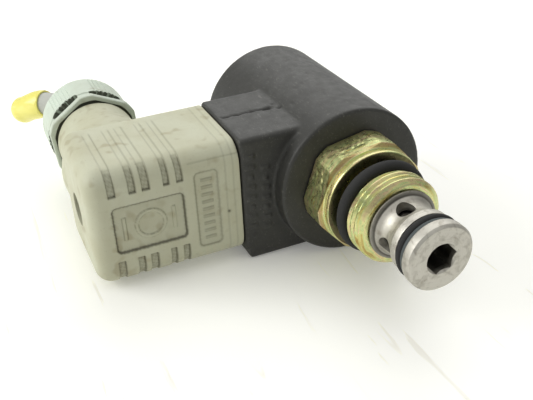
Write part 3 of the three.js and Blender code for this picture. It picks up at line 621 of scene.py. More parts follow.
class NodeSheet:
    """A material under construction: a shader and the nodes that feed it."""

    # A Mix node's sockets when it mixes colours: its factor and two colours, and its result.
    MIX_INPUTS = (0, 6, 7)
    MIX_OUTPUT = 2

    def __init__(self, name: str, frame: ValveFrame) -> None:
        """Starts a material of that name with an empty Principled shader.

        Args:
            name: The material's name.
            frame: The valve's frame, which patterns are laid out in.
        """
        self.frame = frame
        self.material = bpy.data.materials.new(name)
        self.material.use_nodes = True
        self.tree = self.material.node_tree
        self.tree.nodes.clear()
        output = self.tree.nodes.new("ShaderNodeOutputMaterial")
        self.shader = self.tree.nodes.new("ShaderNodeBsdfPrincipled")
        self.tree.links.new(self.shader.outputs["BSDF"], output.inputs["Surface"])

    def set(self, socket: str, value: object) -> None:
        """Gives the shader's socket of that name a number, a colour or a node's output."""
        self.feed(self.shader.inputs[socket], value)

    def node(self, kind: str, **settings: object) -> bpy.types.Node:
        """A new node with some settings.

        Args:
            kind: Blender's name for the node.
            **settings: Its properties.

        Returns:
            The node.
        """
        made = self.tree.nodes.new(kind)
        for key, value in settings.items():
            setattr(made, key, value)
        return made

    def feed(self, target: bpy.types.NodeSocket, value: object) -> None:
        """Links an output to an input, or sets the input to a plain value.

        Args:
            target: The input.
            value: An output, a number or a colour.
        """
        if isinstance(value, bpy.types.NodeSocket):
            self.tree.links.new(value, target)
        elif isinstance(value, tuple) and len(target.default_value) == 4:
            target.default_value = (*value, 1)
        else:
            target.default_value = value

    def place(self, stretch: Point3 = (1, 1, 1)) -> bpy.types.NodeSocket:
        """The point on the piece in the valve's millimetres, stretched along each axis.

        Args:
            stretch: What each axis is multiplied by.

        Returns:
            The vector output.
        """
        where = self.node("ShaderNodeTexCoord").outputs["Object"]
        laid_out = self.node("ShaderNodeMapping", vector_type="TEXTURE")
        self.feed(laid_out.inputs["Vector"], where)
        laid_out.inputs["Location"].default_value = self.frame.matrix.translation
        laid_out.inputs["Rotation"].default_value = self.frame.matrix.to_euler()
        laid_out.inputs["Scale"].default_value = [MM / value for value in stretch]
        return laid_out.outputs[0]

    def math(self, operation: str, *values: object) -> bpy.types.NodeSocket:
        """The result of one sum on outputs or numbers.

        Args:
            operation: Blender's name for the sum.
            *values: Outputs or numbers.

        Returns:
            The result.
        """
        made = self.node("ShaderNodeMath", operation=operation)
        for socket, value in zip(made.inputs, values):
            self.feed(socket, value)
        return made.outputs[0]

    def around_axis(self, along: float, outwards: float, around: float) -> bpy.types.NodeSocket:
        """The point as (place along the axis, distance from it, angle), each stretched.

        Args:
            along: The stretch along the axis, per millimetre.
            outwards: The stretch of the distance from the axis, per millimetre.
            around: The stretch of the angle, per radian.

        Returns:
            The vector output.
        """
        parts = self.node("ShaderNodeSeparateXYZ")
        self.feed(parts.inputs[0], self.place())
        across, up = parts.outputs[1], parts.outputs[2]
        across_squared = self.math("MULTIPLY", across, across)
        squares = self.math("ADD", across_squared, self.math("MULTIPLY", up, up))
        joined = self.node("ShaderNodeCombineXYZ")
        self.feed(joined.inputs[0], self.math("MULTIPLY", parts.outputs[0], along))
        self.feed(joined.inputs[1], self.math("MULTIPLY", self.math("SQRT", squares), outwards))
        self.feed(joined.inputs[2], self.math("MULTIPLY", self.math("ARCTAN2", up, across), around))
        return joined.outputs[0]

    def noise(
        self, vector: bpy.types.NodeSocket, scale: float, detail: float = 4, twist: float = 0
    ) -> bpy.types.NodeSocket:
        """Cloudy noise between 0 and 1.

        Args:
            vector: Where it is looked up.
            scale: How fine it is.
            detail: How many finer layers it has.
            twist: How much it is distorted.

        Returns:
            The noise's value.
        """
        made = self.node("ShaderNodeTexNoise")
        self.feed(made.inputs["Vector"], vector)
        made.inputs["Scale"].default_value = scale
        made.inputs["Detail"].default_value = detail
        made.inputs["Distortion"].default_value = twist
        return made.outputs["Fac"]

    def cells(self, vector: bpy.types.NodeSocket, scale: float) -> bpy.types.NodeSocket:
        """The distance to the nearest of some scattered points.

        Args:
            vector: Where it is looked up.
            scale: How close together the points are.

        Returns:
            The distance.
        """
        made = self.node("ShaderNodeTexVoronoi")
        self.feed(made.inputs["Vector"], vector)
        made.inputs["Scale"].default_value = scale
        return made.outputs["Distance"]

    def range(
        self, value: bpy.types.NodeSocket, low: float, high: float, to_low: float, to_high: float
    ) -> bpy.types.NodeSocket:
        """A value moved from one range to another, and held inside it.

        Args:
            value: The value.
            low: Where its range starts.
            high: Where its range ends.
            to_low: What low becomes.
            to_high: What high becomes.

        Returns:
            The moved value.
        """
        made = self.node("ShaderNodeMapRange", clamp=True)
        for socket, number in zip(made.inputs, (value, low, high, to_low, to_high)):
            self.feed(socket, number)
        return made.outputs[0]

    def uneven(
        self, vector: bpy.types.NodeSocket, scale: float, to_low: float, to_high: float
    ) -> bpy.types.NodeSocket:
        """A number that drifts between two values over the surface."""
        return self.range(self.noise(vector, scale), 0.3, 0.7, to_low, to_high)

    def ramp(
        self, value: bpy.types.NodeSocket, stops: Sequence[tuple[float, Colour]]
    ) -> bpy.types.NodeSocket:
        """A colour picked along some stops.

        Args:
            value: The place on the ramp, from 0 to 1.
            stops: Places and their colours, in rising order.

        Returns:
            The colour.
        """
        made = self.node("ShaderNodeValToRGB")
        elements = made.color_ramp.elements
        while len(elements) < len(stops):
            elements.new(0.5)
        for element, (where, colour) in zip(elements, stops):
            element.position = where
            element.color = (*colour, 1)
        self.feed(made.inputs[0], value)
        return made.outputs["Color"]

    def mix(self, share: object, first: object, second: object) -> bpy.types.NodeSocket:
        """A blend of two colours.

        Args:
            share: The second colour's share.
            first: The first colour.
            second: The second colour.

        Returns:
            The blend.
        """
        made = self.node("ShaderNodeMix", data_type="RGBA")
        for index, value in zip(self.MIX_INPUTS, (share, first, second)):
            self.feed(made.inputs[index], value)
        return made.outputs[self.MIX_OUTPUT]

    def grime_and_shade(self) -> bpy.types.NodeSocket:
        """How dark each point was noted to be when its skin was pressed: dirt on some pieces, painted
        shade on the gland nut.
        """
        return self.node("ShaderNodeAttribute", attribute_name="grime_and_shade").outputs["Fac"]

    def bump(
        self, height: bpy.types.NodeSocket, depth: float, under: object = None
    ) -> bpy.types.NodeSocket:
        """A fine relief on the surface.

        Args:
            height: The relief's height, from 0 to 1.
            depth: How deep the relief is, in millimetres.
            under: The relief that this one lies on, if any.

        Returns:
            The normal.
        """
        made = self.node("ShaderNodeBump")
        made.inputs["Strength"].default_value = 1
        made.inputs["Distance"].default_value = depth * MM
        self.feed(made.inputs["Height"], height)
        if under is not None:
            self.feed(made.inputs["Normal"], under)
        return made.outputs["Normal"]


@dataclass(frozen=True)
class Finish:
    """A finish with a name; each kind of finish builds its own nodes."""

    name: str

    def build(self, frame: ValveFrame) -> bpy.types.Material:
        """The finish as a material, made once.

        Args:
            frame: The valve's frame.

        Returns:
            The material.
        """
        known = bpy.data.materials.get(self.name)
        if known:
            return known
        sheet = NodeSheet(self.name, frame)
        self._lay(sheet)
        return sheet.material

    def _lay(self, sheet: NodeSheet) -> None:
        """Lays the finish's nodes on an empty sheet."""
        raise NotImplementedError


@dataclass(frozen=True)
class Moulding(Finish):
    """Moulded plastic: fine spark-eroded grain, cloudy colour, scuffs, dirt in its hollows and, on the
    gland nut, painted shade in its pockets.
    """

    colour: Colour = srgb(180, 180, 160)
    dull: Colour = srgb(150, 150, 130)
    dirt: Colour = srgb(60, 55, 40)
    roughness: float = 0.55
    grain: float = 0.02
    scuffs: float = 0.0
    stains: float = 0.0

    def _lay(self, sheet: NodeSheet) -> None:
        """Lays this plastic's nodes on an empty sheet.

        Args:
            sheet: The sheet.
        """
        place = sheet.place()
        cloud = sheet.range(sheet.noise(place, 0.12, 5, 0.4), 0.35, 0.68, 0, 1)
        colour = sheet.mix(cloud, self.colour, self.dull)
        speck = sheet.range(sheet.noise(place, 2.5, 3), 0.62, 0.75, 0, 0.16)
        colour = sheet.mix(speck, colour, self.dirt)
        rough = sheet.uneven(place, 0.5, self.roughness - 0.06, self.roughness + 0.08)
        normal = sheet.bump(sheet.noise(place, 7, 3), self.grain)
        if self.stains > 0:
            spots = sheet.math("MULTIPLY", sheet.noise(place, 0.5, 0), sheet.noise(place, 0.13, 1))
            share = sheet.range(spots, 0.34, 0.48, 0, self.stains)
            colour = sheet.mix(share, colour, srgb(128, 108, 66))
        if self.scuffs > 0:
            streaks = sheet.noise(sheet.place((0.35, 1.5, 1.1)), 1.7, 6, 1.2)
            share = sheet.range(streaks, 0.6, 0.72, 0, self.scuffs)
            colour = sheet.mix(share, colour, srgb(170, 168, 158))
            normal = sheet.bump(streaks, self.grain, normal)
        # Darkening noted on the skin: dirt on the coil and the plug, painted shade in the gland nut's
        # pockets and recess.
        colour = sheet.mix(sheet.grime_and_shade(), colour, self.dirt)
        sheet.set("Base Color", colour)
        sheet.set("Roughness", rough)
        sheet.set("Normal", normal)
        sheet.set("Specular IOR Level", 0.4)


@dataclass(frozen=True)
class StainOrShadeBand:
    """A darker band round the axis, a real stain or painted shade: where it lies, how strong it is and
    its colour.
    """

    along: Point2
    radius: Point2
    strength: float
    colour: Colour = srgb(30, 26, 21)
    soft: float = 0.08

    def share(self, sheet: NodeSheet) -> bpy.types.NodeSocket:
        """How much of the band's colour there is at each point.

        Args:
            sheet: The sheet that it lies on.

        Returns:
            The share, from 0 to 1.
        """
        parts = sheet.node("ShaderNodeSeparateXYZ")
        sheet.feed(parts.inputs[0], sheet.around_axis(1, 1, 1))
        share = self.strength
        for place, (low, high) in zip(parts.outputs, (self.along, self.radius)):
            rise = sheet.range(place, low - self.soft, low + self.soft, 0, 1)
            fall = sheet.range(place, high - self.soft, high + self.soft, 1, 0)
            share = sheet.math("MULTIPLY", share, sheet.math("MULTIPLY", rise, fall))
        return share


@dataclass(frozen=True)
class ZincPlate(Finish):
    """Yellow-passivated zinc: greenish gold with rainbow patches, stains, bands of painted shade and
    tool marks.
    """

    stamped: bool = False
    roughness: float = 0.27
    stains: tuple[StainOrShadeBand, ...] = ()

    def _lay(self, sheet: NodeSheet) -> None:
        """Lays this plating's nodes on an empty sheet.

        Args:
            sheet: The sheet.
        """
        place = sheet.place()
        swirl = sheet.noise(sheet.around_axis(1.5, 0.9, 1.6), 0.75, 5, 1.1)
        stops = (
            (0.26, srgb(176, 146, 84)),
            (0.37, srgb(216, 206, 132)),
            (0.46, srgb(200, 214, 152)),
            (0.54, srgb(228, 222, 158)),
            (0.62, srgb(216, 192, 152)),
            (0.71, srgb(192, 210, 154)),
        )
        colour = sheet.ramp(swirl, stops)
        darkest = 0.3 if self.stamped else 0.24
        pits = sheet.range(sheet.noise(place, 2.6, 4, 0.3), 0.55, 0.72, 0, darkest)
        colour = sheet.mix(pits, colour, srgb(104, 90, 50))
        # Darker bands round the axis: real stains, and painted shade on faces in shadow.
        for stain_or_shade in self.stains:
            colour = sheet.mix(stain_or_shade.share(sheet), colour, stain_or_shade.colour)
        colour = sheet.mix(sheet.grime_and_shade(), colour, srgb(60, 46, 22))
        lines = sheet.noise(sheet.around_axis(9, 9, 0.5), 1, 3)
        normal = sheet.bump(lines, 0.012)
        if self.stamped:
            dents = sheet.range(sheet.cells(place, 1.3), 0.1, 0.55, 0, 1)
            normal = sheet.bump(dents, 0.012, normal)
        normal = sheet.bump(sheet.noise(place, 1.1, 3), 0.035, normal)
        sheet.set("Base Color", colour)
        sheet.set("Metallic", 0.93)
        rough = sheet.uneven(place, 0.9, self.roughness - 0.08, self.roughness + 0.14)
        sheet.set("Roughness", rough)
        sheet.set("Normal", normal)


@dataclass(frozen=True)
class TurnedMetal(Finish):
    """Lathe-turned metal: fine rings round the axis, a little tarnish and darker bands, painted shade
    among them.
    """

    colour: Colour = srgb(196, 193, 184)
    tarnish: Colour = srgb(120, 112, 98)
    roughness: float = 0.3
    rings: float = 0.02
    ring_pitch: float = 0.12
    stains: tuple[StainOrShadeBand, ...] = ()

    def _lay(self, sheet: NodeSheet) -> None:
        """Lays this metal's nodes on an empty sheet.

        Args:
            sheet: The sheet.
        """
        place = sheet.place()
        fine = 1 / self.ring_pitch
        rings = sheet.noise(sheet.around_axis(fine, fine, 0.35), 1, 3)
        cloud = sheet.range(sheet.noise(place, 0.6, 5, 0.6), 0.5, 0.76, 0, 0.6)
        colour = sheet.mix(cloud, self.colour, self.tarnish)
        spots = sheet.range(sheet.noise(place, 3.4, 4), 0.66, 0.74, 0, 0.65)
        colour = sheet.mix(spots, colour, srgb(64, 58, 50))
        # Darker bands round the axis; on the cage most are painted shade in its socket, bore and
        # shoulder.
        for stain_or_shade in self.stains:
            colour = sheet.mix(stain_or_shade.share(sheet), colour, stain_or_shade.colour)
        colour = sheet.mix(sheet.grime_and_shade(), colour, srgb(40, 36, 30))
        rough = sheet.range(rings, 0.3, 0.7, self.roughness - 0.06, self.roughness + 0.12)
        sheet.set("Base Color", colour)
        sheet.set("Metallic", 1.0)
        sheet.set("Roughness", rough)
        grain = sheet.noise(place, 5, 3)
        sheet.set("Normal", sheet.bump(grain, 0.006, sheet.bump(rings, self.rings)))


@dataclass(frozen=True)
class Rubber(Finish):
    """Black sealing rubber, oily and glossy, with a little dust."""

    colour: Colour = srgb(14, 14, 14)
    roughness: float = 0.11

    def _lay(self, sheet: NodeSheet) -> None:
        """Lays this rubber's nodes on an empty sheet.

        Args:
            sheet: The sheet.
        """
        place = sheet.place()
        dust = sheet.range(sheet.noise(place, 1.6, 6, 0.4), 0.62, 0.8, 0, 0.14)
        sheet.set("Base Color", sheet.mix(dust, self.colour, srgb(92, 86, 74)))
        rough = sheet.uneven(place, 0.7, self.roughness - 0.03, self.roughness + 0.06)
        sheet.set("Roughness", rough)
        sheet.set("Normal", sheet.bump(sheet.noise(place, 2.2, 4), 0.012))
        sheet.set("Specular IOR Level", 0.3)


@dataclass(frozen=True)
class SoftSleeve(Finish):
    """Soft coloured plastic that lets a little light in."""

    colour: Colour = srgb(224, 216, 84)
    dull: Colour = srgb(206, 186, 60)
    roughness: float = 0.42
    stripe: Colour | None = None

    def _lay(self, sheet: NodeSheet) -> None:
        """Lays this plastic's nodes on an empty sheet.

        Args:
            sheet: The sheet.
        """
        place = sheet.place()
        cloud = sheet.range(sheet.noise(place, 0.3, 4, 0.5), 0.35, 0.7, 0, 1)
        colour = sheet.mix(cloud, self.colour, self.dull)
        if self.stripe is not None:
            half = sheet.range(sheet.noise(sheet.place((0.2, 0.2, 1)), 0.6, 0), 0.49, 0.51, 0, 1)
            colour = sheet.mix(half, colour, self.stripe)
        specks = sheet.range(sheet.noise(place, 1.8, 4), 0.66, 0.76, 0, 0.35)
        sheet.set("Base Color", sheet.mix(specks, colour, srgb(110, 92, 40)))
        rough = sheet.uneven(place, 0.8, self.roughness - 0.08, self.roughness + 0.12)
        sheet.set("Roughness", rough)
        sheet.set("Normal", sheet.bump(sheet.noise(place, 1.4, 4), 0.05))
        sheet.set("Subsurface Weight", 0.12)
        sheet.set("Subsurface Scale", 1.5 * MM)


@dataclass(frozen=True)
class CoilWire(Finish):
    """Enamelled copper wire, wound turn beside turn."""

    turn_pitch: float = 0.45
    bands_per_unit: float = 0.314

    def _lay(self, sheet: NodeSheet) -> None:
        """Lays the winding's nodes on an empty sheet.

        Args:
            sheet: The sheet.
        """
        turns = sheet.node("ShaderNodeTexWave", wave_type="BANDS", bands_direction="X")
        sheet.feed(turns.inputs["Vector"], sheet.place())
        turns.inputs["Scale"].default_value = self.bands_per_unit / self.turn_pitch
        cloud = sheet.noise(sheet.place((2, 0.3, 0.3)), 0.8, 4)
        sheet.set("Base Color", sheet.mix(cloud, srgb(176, 96, 52), srgb(206, 138, 84)))
        sheet.set("Metallic", 1.0)
        sheet.set("Roughness", sheet.range(cloud, 0.3, 0.7, 0.24, 0.4))
        sheet.set("Normal", sheet.bump(turns.outputs["Fac"], 0.12))
        sheet.set("Coat Weight", 0.6)


COIL_PLASTIC = Moulding(
    "coil_plastic",
    colour=srgb(56, 56, 53),
    dull=srgb(49, 49, 46),
    dirt=srgb(24, 23, 20),
    roughness=0.46,
    grain=0.03,
    scuffs=0.16,
)
PLUG_PLASTIC = Moulding(
    "plug_plastic",
    colour=srgb(190, 191, 168),
    dull=srgb(182, 181, 155),
    dirt=srgb(66, 62, 46),
    roughness=0.52,
    grain=0.02,
    stains=0.3,
)
# Its dirt colour also serves as the painted shade in the nut's pockets and front recess.
NUT_PLASTIC = Moulding(
    "nut_plastic",
    colour=srgb(200, 211, 197),
    dull=srgb(188, 196, 180),
    dirt=srgb(70, 70, 56),
    roughness=0.5,
    stains=0.3,
)
BOBBIN_PLASTIC = Moulding("bobbin_plastic", colour=srgb(214, 210, 196), dull=srgb(200, 194, 178))
CARRIER_PLASTIC = Moulding(
    "carrier_plastic", colour=srgb(52, 53, 52), dull=srgb(44, 45, 44), dirt=srgb(20, 20, 19)
)
BACKUP_PLASTIC = Moulding(
    "backup_plastic", colour=srgb(30, 28, 25), dull=srgb(24, 23, 21), roughness=0.35
)
HEXAGON_ZINC = ZincPlate(
    "hexagon_zinc",
    stamped=True,
    roughness=0.3,
    stains=(
        # Painted shade: the collar's front face, behind the large ring, painted dark olive.
        StainOrShadeBand((9.7, 10.2), (7.0, 11.5), 0.85, srgb(44, 40, 22), soft=0.06),
        StainOrShadeBand((7.1, 8.0), (11.98, 12.7), 0.55, srgb(150, 104, 52), soft=0.1),
        # A darker brown band in the collar's groove between its ridges.
        StainOrShadeBand((8.15, 8.7), (11.0, 11.5), 0.5, srgb(120, 96, 44), soft=0.1),
    ),
)
THREAD_ZINC = ZincPlate("nut_zinc", roughness=0.32)
NOSE_STEEL = TurnedMetal(
    "nose_steel",
    roughness=0.47,
    rings=0.03,
    stains=(
        # Painted shade: the inside of the hex socket and the seat under it painted near black.
        StainOrShadeBand((9.0, 33.3), (0.0, 3.6), 0.88, soft=0.6),
        # Painted shade: the bore behind the seat painted darker.
        StainOrShadeBand((9.0, 27.0), (0.0, 5.0), 0.6, soft=0.3),
        # Painted shade on the shoulder, darkest in the ring where it meets the body's thread and in a
        # thin line where it steps down to the waist.
        StainOrShadeBand((20.0, 20.9), (6.9, 8.3), 0.75, srgb(84, 80, 70), soft=0.2),
        StainOrShadeBand((20.95, 21.2), (6.0, 8.3), 0.75, soft=0.09),
        StainOrShadeBand((20.0, 20.45), (7.7, 8.3), 0.9, soft=0.06),
        # A faint darker band on the waist's rear slope.
        StainOrShadeBand((21.3, 22.4), (5.6, 7.3), 0.32, srgb(88, 80, 66), soft=0.5),
    ),
)
TUBE_STEEL = TurnedMetal("tube_steel", colour=srgb(206, 205, 200), roughness=0.24)
POPPET_STEEL = TurnedMetal("poppet_steel", colour=srgb(150, 148, 144), roughness=0.22)
MAGNET_STEEL = TurnedMetal(
    "magnet_steel", colour=srgb(150, 150, 146), tarnish=srgb(104, 98, 88), roughness=0.38
)
WASHER_STEEL = TurnedMetal("washer_steel", colour=srgb(186, 190, 190), roughness=0.32)
SPRING_STEEL = TurnedMetal("spring_steel", colour=srgb(150, 150, 146), roughness=0.26)
SCREW_STEEL = TurnedMetal("screw_steel", colour=srgb(178, 180, 180), roughness=0.28)
TINNED_BRASS = TurnedMetal(
    "tinned_brass", colour=srgb(206, 203, 190), tarnish=srgb(150, 138, 104), roughness=0.28
)
BRASS = TurnedMetal("brass", colour=srgb(196, 164, 92), tarnish=srgb(128, 98, 52), roughness=0.32)
RING_RUBBER = Rubber("ring_rubber")
GASKET_RUBBER = Rubber("gasket_rubber", colour=srgb(34, 33, 31), roughness=0.5)
YELLOW_SLEEVE = SoftSleeve("yellow_sleeve")
LEAD_JACKET = Moulding(
    "lead_jacket",
    colour=srgb(158, 161, 150),
    dull=srgb(142, 144, 132),
    dirt=srgb(80, 78, 66),
    roughness=0.45,
    stains=0.25,
)
CORE_BROWN = SoftSleeve("core_brown", colour=srgb(98, 62, 36), dull=srgb(84, 50, 30))
CORE_BLUE = SoftSleeve("core_blue", colour=srgb(44, 92, 158), dull=srgb(36, 76, 136))
CORE_EARTH = SoftSleeve(
    "core_earth", colour=srgb(78, 142, 60), dull=srgb(66, 126, 52), stripe=srgb(214, 202, 60)
)
COPPER_WIRE = CoilWire("copper_wire")


# ---- pieces


@dataclass
class Workshop:
    """Turns shaped bodies into pieces that ride on the CAD's bodies."""

    frame: ValveFrame
    sharp_degrees: float = 32

    def piece(
        self, solid: Solid, name: str, finish: Finish, body: Body
    ) -> bpy.types.Object:
        """A finished piece that stands for the CAD node of the same name.

        Args:
            solid: The shape, in the valve's frame, in millimetres.
            name: The CAD node's name; the piece is called that with _shape after it.
            finish: What it is made of.
            body: The body that it rides on.

        Returns:
            The piece.
        """
        mesh = solid.mesh
        mesh.name = name + "_shape"
        mesh.transform(self.frame.matrix @ Matrix.Scale(MM, 4))
        mesh.shade_smooth()
        mesh.set_sharp_from_angle(angle=math.radians(self.sharp_degrees))
        mesh.materials.clear()
        mesh.materials.append(finish.build(self.frame))
        made = placed(mesh.name, mesh)
        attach(made, body.value)
        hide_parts(name)
        LOG.info("%s: %d faces", made.name, len(mesh.polygons))
        return made

    def dress(self, node: bpy.types.Object, finish: Finish) -> None:
        """Gives a CAD node that stays as it is its finish.

        Args:
            node: The CAD's object.
            finish: Its finish.
        """
        node.data.materials.clear()
        node.data.materials.append(finish.build(self.frame))
        LOG.info("%s: dressed in %s", node.name, finish.name)


# ---- coil


@dataclass
class Coil:
    """The black moulded coil with its plug neck, and the steel washer that closes its rear."""

    radius: float = 17.6
    length: float = 47.6
    wall: float = 2.0
    front_wall: float = 3.0
    bore_radius: float = 8.3
    front_seal_radius: float = 10.1
    front_seal_depth: float = 1.8
    neck_front: float = -4.33
    neck_rear: float = -28.93
    neck_end: float = -25.2
    neck_half: float = 14.3
    neck_corner: float = 1.3
    foot_half: float = 16.4
    foot_setback: float = 1.1
    seam_x: float = -17.3
    seam_from: float = -24.4
    seam_to: float = -12.0
    blade_pitch: float = 9.0
    plug_middle: float = -17.83
    insert_radius: float = 3.1
    blade_slot_half: Point2 = (3.45, 0.7)
    holes_end: float = -4.0
    seal_middle: float = -0.825
    seal_section: float = 1.5
    washer_rear: float = -47.0
    washer_front: float = -44.5
    washer_bore: float = 8.3
    washer_radius: float = 15.3
    seam_width: float = 0.33
    seam_depth: float = 0.34
    top_from: float = 8.0
    # Each chip beside the seam: its place in X and Y, its size and its depth.
    chips: tuple[tuple[float, float, float, float], ...] = (
        (-17.2, -12.6, 0.75, 0.5),
        (-16.0, -10.6, 0.5, 0.35),
        (-16.9, -13.9, 0.45, 0.34),
        (-17.7, -17.2, 0.35, 0.26),
        (-16.9, -20.4, 0.35, 0.24),
        (-18.6, -11.2, 0.4, 0.22),
    )
    knocks: int = 14
    knock_depth: float = 0.1
    # Each row of raised dashes: its place in Y and how many dashes it has.
    dash_rows: tuple[tuple[float, int], ...] = ((-23.0, 9), (-19.6, 7))
    dash_pitch: float = 2.5
    dash_height: float = 0.24

    def build(self, shop: Workshop) -> None:
        """Builds the moulding and the rear washer.

        Args:
            shop: The workshop.
        """
        shop.piece(self.moulding(), "coil_housing", COIL_PLASTIC, Body.COIL)
        shop.piece(self.rear_washer(), "rear_flux_washer", WASHER_STEEL, Body.COIL)
        seal = ring_seal(self.seal_middle, self.bore_radius, self.seal_section)
        shop.piece(seal, "coil_front_o_ring", RING_RUBBER, Body.COIL)

    def moulding(self) -> Solid:
        """The moulding: a round body, a square neck and the foot under it.

        Returns:
            The moulding.
        """
        round_body = Turning(180).body(
            rounded(
                [
                    (0, 2, 0),
                    (0, self.radius, 0.7),
                    (-self.length, self.radius, 0.9),
                    (-self.length, 2, 0),
                ],
                steps=6,
            )
        )
        middle = (self.neck_front + self.neck_rear) / 2
        half_depth = (self.neck_front - self.neck_rear) / 2
        neck = self._bar(middle, 0, half_depth, self.neck_half, self.neck_end, self.neck_corner)
        foot_middle = -(self.foot_half - self.radius / 2) / 2 - self.radius / 4
        foot_height = self.foot_half + foot_middle
        foot_end = self.neck_end + self.foot_setback
        foot = self._bar(middle, foot_middle, half_depth, foot_height, foot_end, 1.0)
        shape = Solid.joined(round_body, neck, foot).moulded(0.33, 5)
        inside = plug_of_air(-self.length - 2, -self.front_wall, self.radius - self.wall, 1)
        bore = plug_of_air(-self.front_wall - 2, 2, self.bore_radius, 0.5)
        seal_pocket = plug_of_air(-self.front_seal_depth, 2, self.front_seal_radius, 0.8)
        shape = shape.minus(inside, bore, seal_pocket, *self._plug_holes())
        return shape.pressed(self._marks)

    def _bar(
        self, x: float, z: float, half_x: float, half_z: float, y_end: float, corner: float
    ) -> Solid:
        """A bar from the axis outwards along -Y, with its long edges and its end rounded.

        Args:
            x: The bar's middle in X.
            z: The bar's middle in Z.
            half_x: Half its size in X.
            half_z: Half its size in Z.
            y_end: Where it ends.
            corner: The rounding of its long edges.

        Returns:
            The bar.
        """
        rings = []
        for y, inset in ((-6, 0), (y_end + 0.4, 0), (y_end, 0.3)):
            outline = round_box_outline((x, z), (half_x - inset, half_z - inset), corner)
            rings.append(ring_across_y(*outline.T, y))
        return Solid.shell(rings, looped=False)

    def _plug_holes(self) -> list[Solid]:
        """What the neck is open for: two contact blades, the earth blade and the screw's insert.

        Returns:
            A body for each hole.
        """
        mouth = self.neck_end - 1
        wide, thin = self.blade_slot_half
        holes = [rod_along_y(self.plug_middle, 0, mouth, self.holes_end, self.insert_radius)]
        for x, z, half_x, half_z in (
            (self.plug_middle, self.blade_pitch, wide, thin),
            (self.plug_middle, -self.blade_pitch, wide, thin),
            (self.plug_middle - self.blade_pitch, 0, thin, wide),
        ):
            low = (x - half_x, mouth, z - half_z)
            holes.append(box(low, (x + half_x, self.holes_end, z + half_z)))
        return holes

    def _marks(self, points: np.ndarray, normals: np.ndarray) -> tuple[np.ndarray, np.ndarray]:
        """The seam across the neck's top, its chips, and the small knocks of use.

        Args:
            points: The skin's points.
            normals: Their normals.

        Returns:
            How far each point is pressed in, and how dirty it is.
        """
        x, y, z = points.T
        on_top = (normals[:, 2] > 0.55) & (z > self.top_from) & (y < self.seam_to + 1)
        wander = 0.12 * np.sin(2.1 * y) + 0.08 * np.sin(5.3 * y + 1)
        along = smoothstep(self.seam_from - 0.4, self.seam_from + 0.4, y)
        along *= 1 - smoothstep(self.seam_to - 0.6, self.seam_to, y)
        seam = np.exp(-(((x - self.seam_x - wander) / self.seam_width) ** 2)) * along * on_top
        depth = self.seam_depth * seam
        dirt = 0.95 * seam * (0.6 + 0.4 * smoothstep(self.seam_from, self.seam_to, y))
        for chip_x, chip_y, size, deep in self.chips:
            chip = np.exp(-(((x - chip_x) ** 2 + (y - chip_y) ** 2) / size**2))
            chip = chip * (z > self.top_from)
            depth += deep * chip
            dirt += 0.8 * chip
        on_front = (normals[:, 0] > 0.8) & (x > self.neck_front - 0.6)
        depth -= self._raised_dashes(y, z) * on_front
        for seed in range(self.knocks):
            angle = 0.5 + 2.2 * ((seed * 0.618) % 1)
            knock_x = -3 - 42 * ((seed * 0.377) % 1)
            knock_y, knock_z = self.radius * math.cos(angle), self.radius * math.sin(angle)
            aside = ((y - knock_y) ** 2 + (z - knock_z) ** 2) / 0.35**2
            knock = np.exp(-(((x - knock_x) / 0.9) ** 2 + aside))
            depth += self.knock_depth * knock
        return depth, np.clip(dirt, 0, 0.95)

    def _raised_dashes(self, y: np.ndarray, z: np.ndarray) -> np.ndarray:
        """Plain raised dashes in two rows up the neck's front.

        Args:
            y: The points' places across the neck.
            z: The points' heights.

        Returns:
            How far each point stands up.
        """
        height = np.zeros(len(y))
        for row, (row_y, dashes) in enumerate(self.dash_rows):
            for i in range(dashes):
                half_y = 0.95 if (i + row) % 3 else 0.55
                middle_z = (i - (dashes - 1) / 2) * self.dash_pitch - 0.8 * row
                across = 1 - smoothstep(half_y - 0.2, half_y + 0.2, np.abs(y - row_y))
                along = 1 - smoothstep(0.35, 0.75, np.abs(z - middle_z))
                height += self.dash_height * across * along
        return height

    def rear_washer(self) -> Solid:
        """The thick steel washer inside the coil's rear edge.

        Returns:
            The washer.
        """
        outline = [
            (self.washer_rear, self.washer_bore, 0.3),
            (self.washer_rear, self.washer_radius, 0.3),
            (self.washer_front, self.washer_radius, 0.2),
            (self.washer_front, self.washer_bore, 0.2),
        ]
        return Turning(128).body(rounded(outline))


def plug_of_air(x0: float, x1: float, radius: float, core: float) -> Solid:
    """What is cut away for a round hole on the axis: a tube with a thin core left out."""
    return Turning(96).body([(x0, core), (x0, radius), (x1, radius), (x1, core)])


def ring_seal(x: float, inner: float, section: float, columns: int = 128) -> Solid:
    """A round-section sealing ring about the axis.

    Args:
        x: The middle of its section.
        inner: Its inner radius.
        section: The section's diameter.
        columns: Points around it.

    Returns:
        The ring.
    """
    half = section / 2
    outline = []
    for angle in np.linspace(0, FULL_TURN, 28, endpoint=False):
        outline.append((x + half * math.cos(angle), inner + half + half * math.sin(angle)))
    return Turning(columns).body(outline)


# ---- cartridge


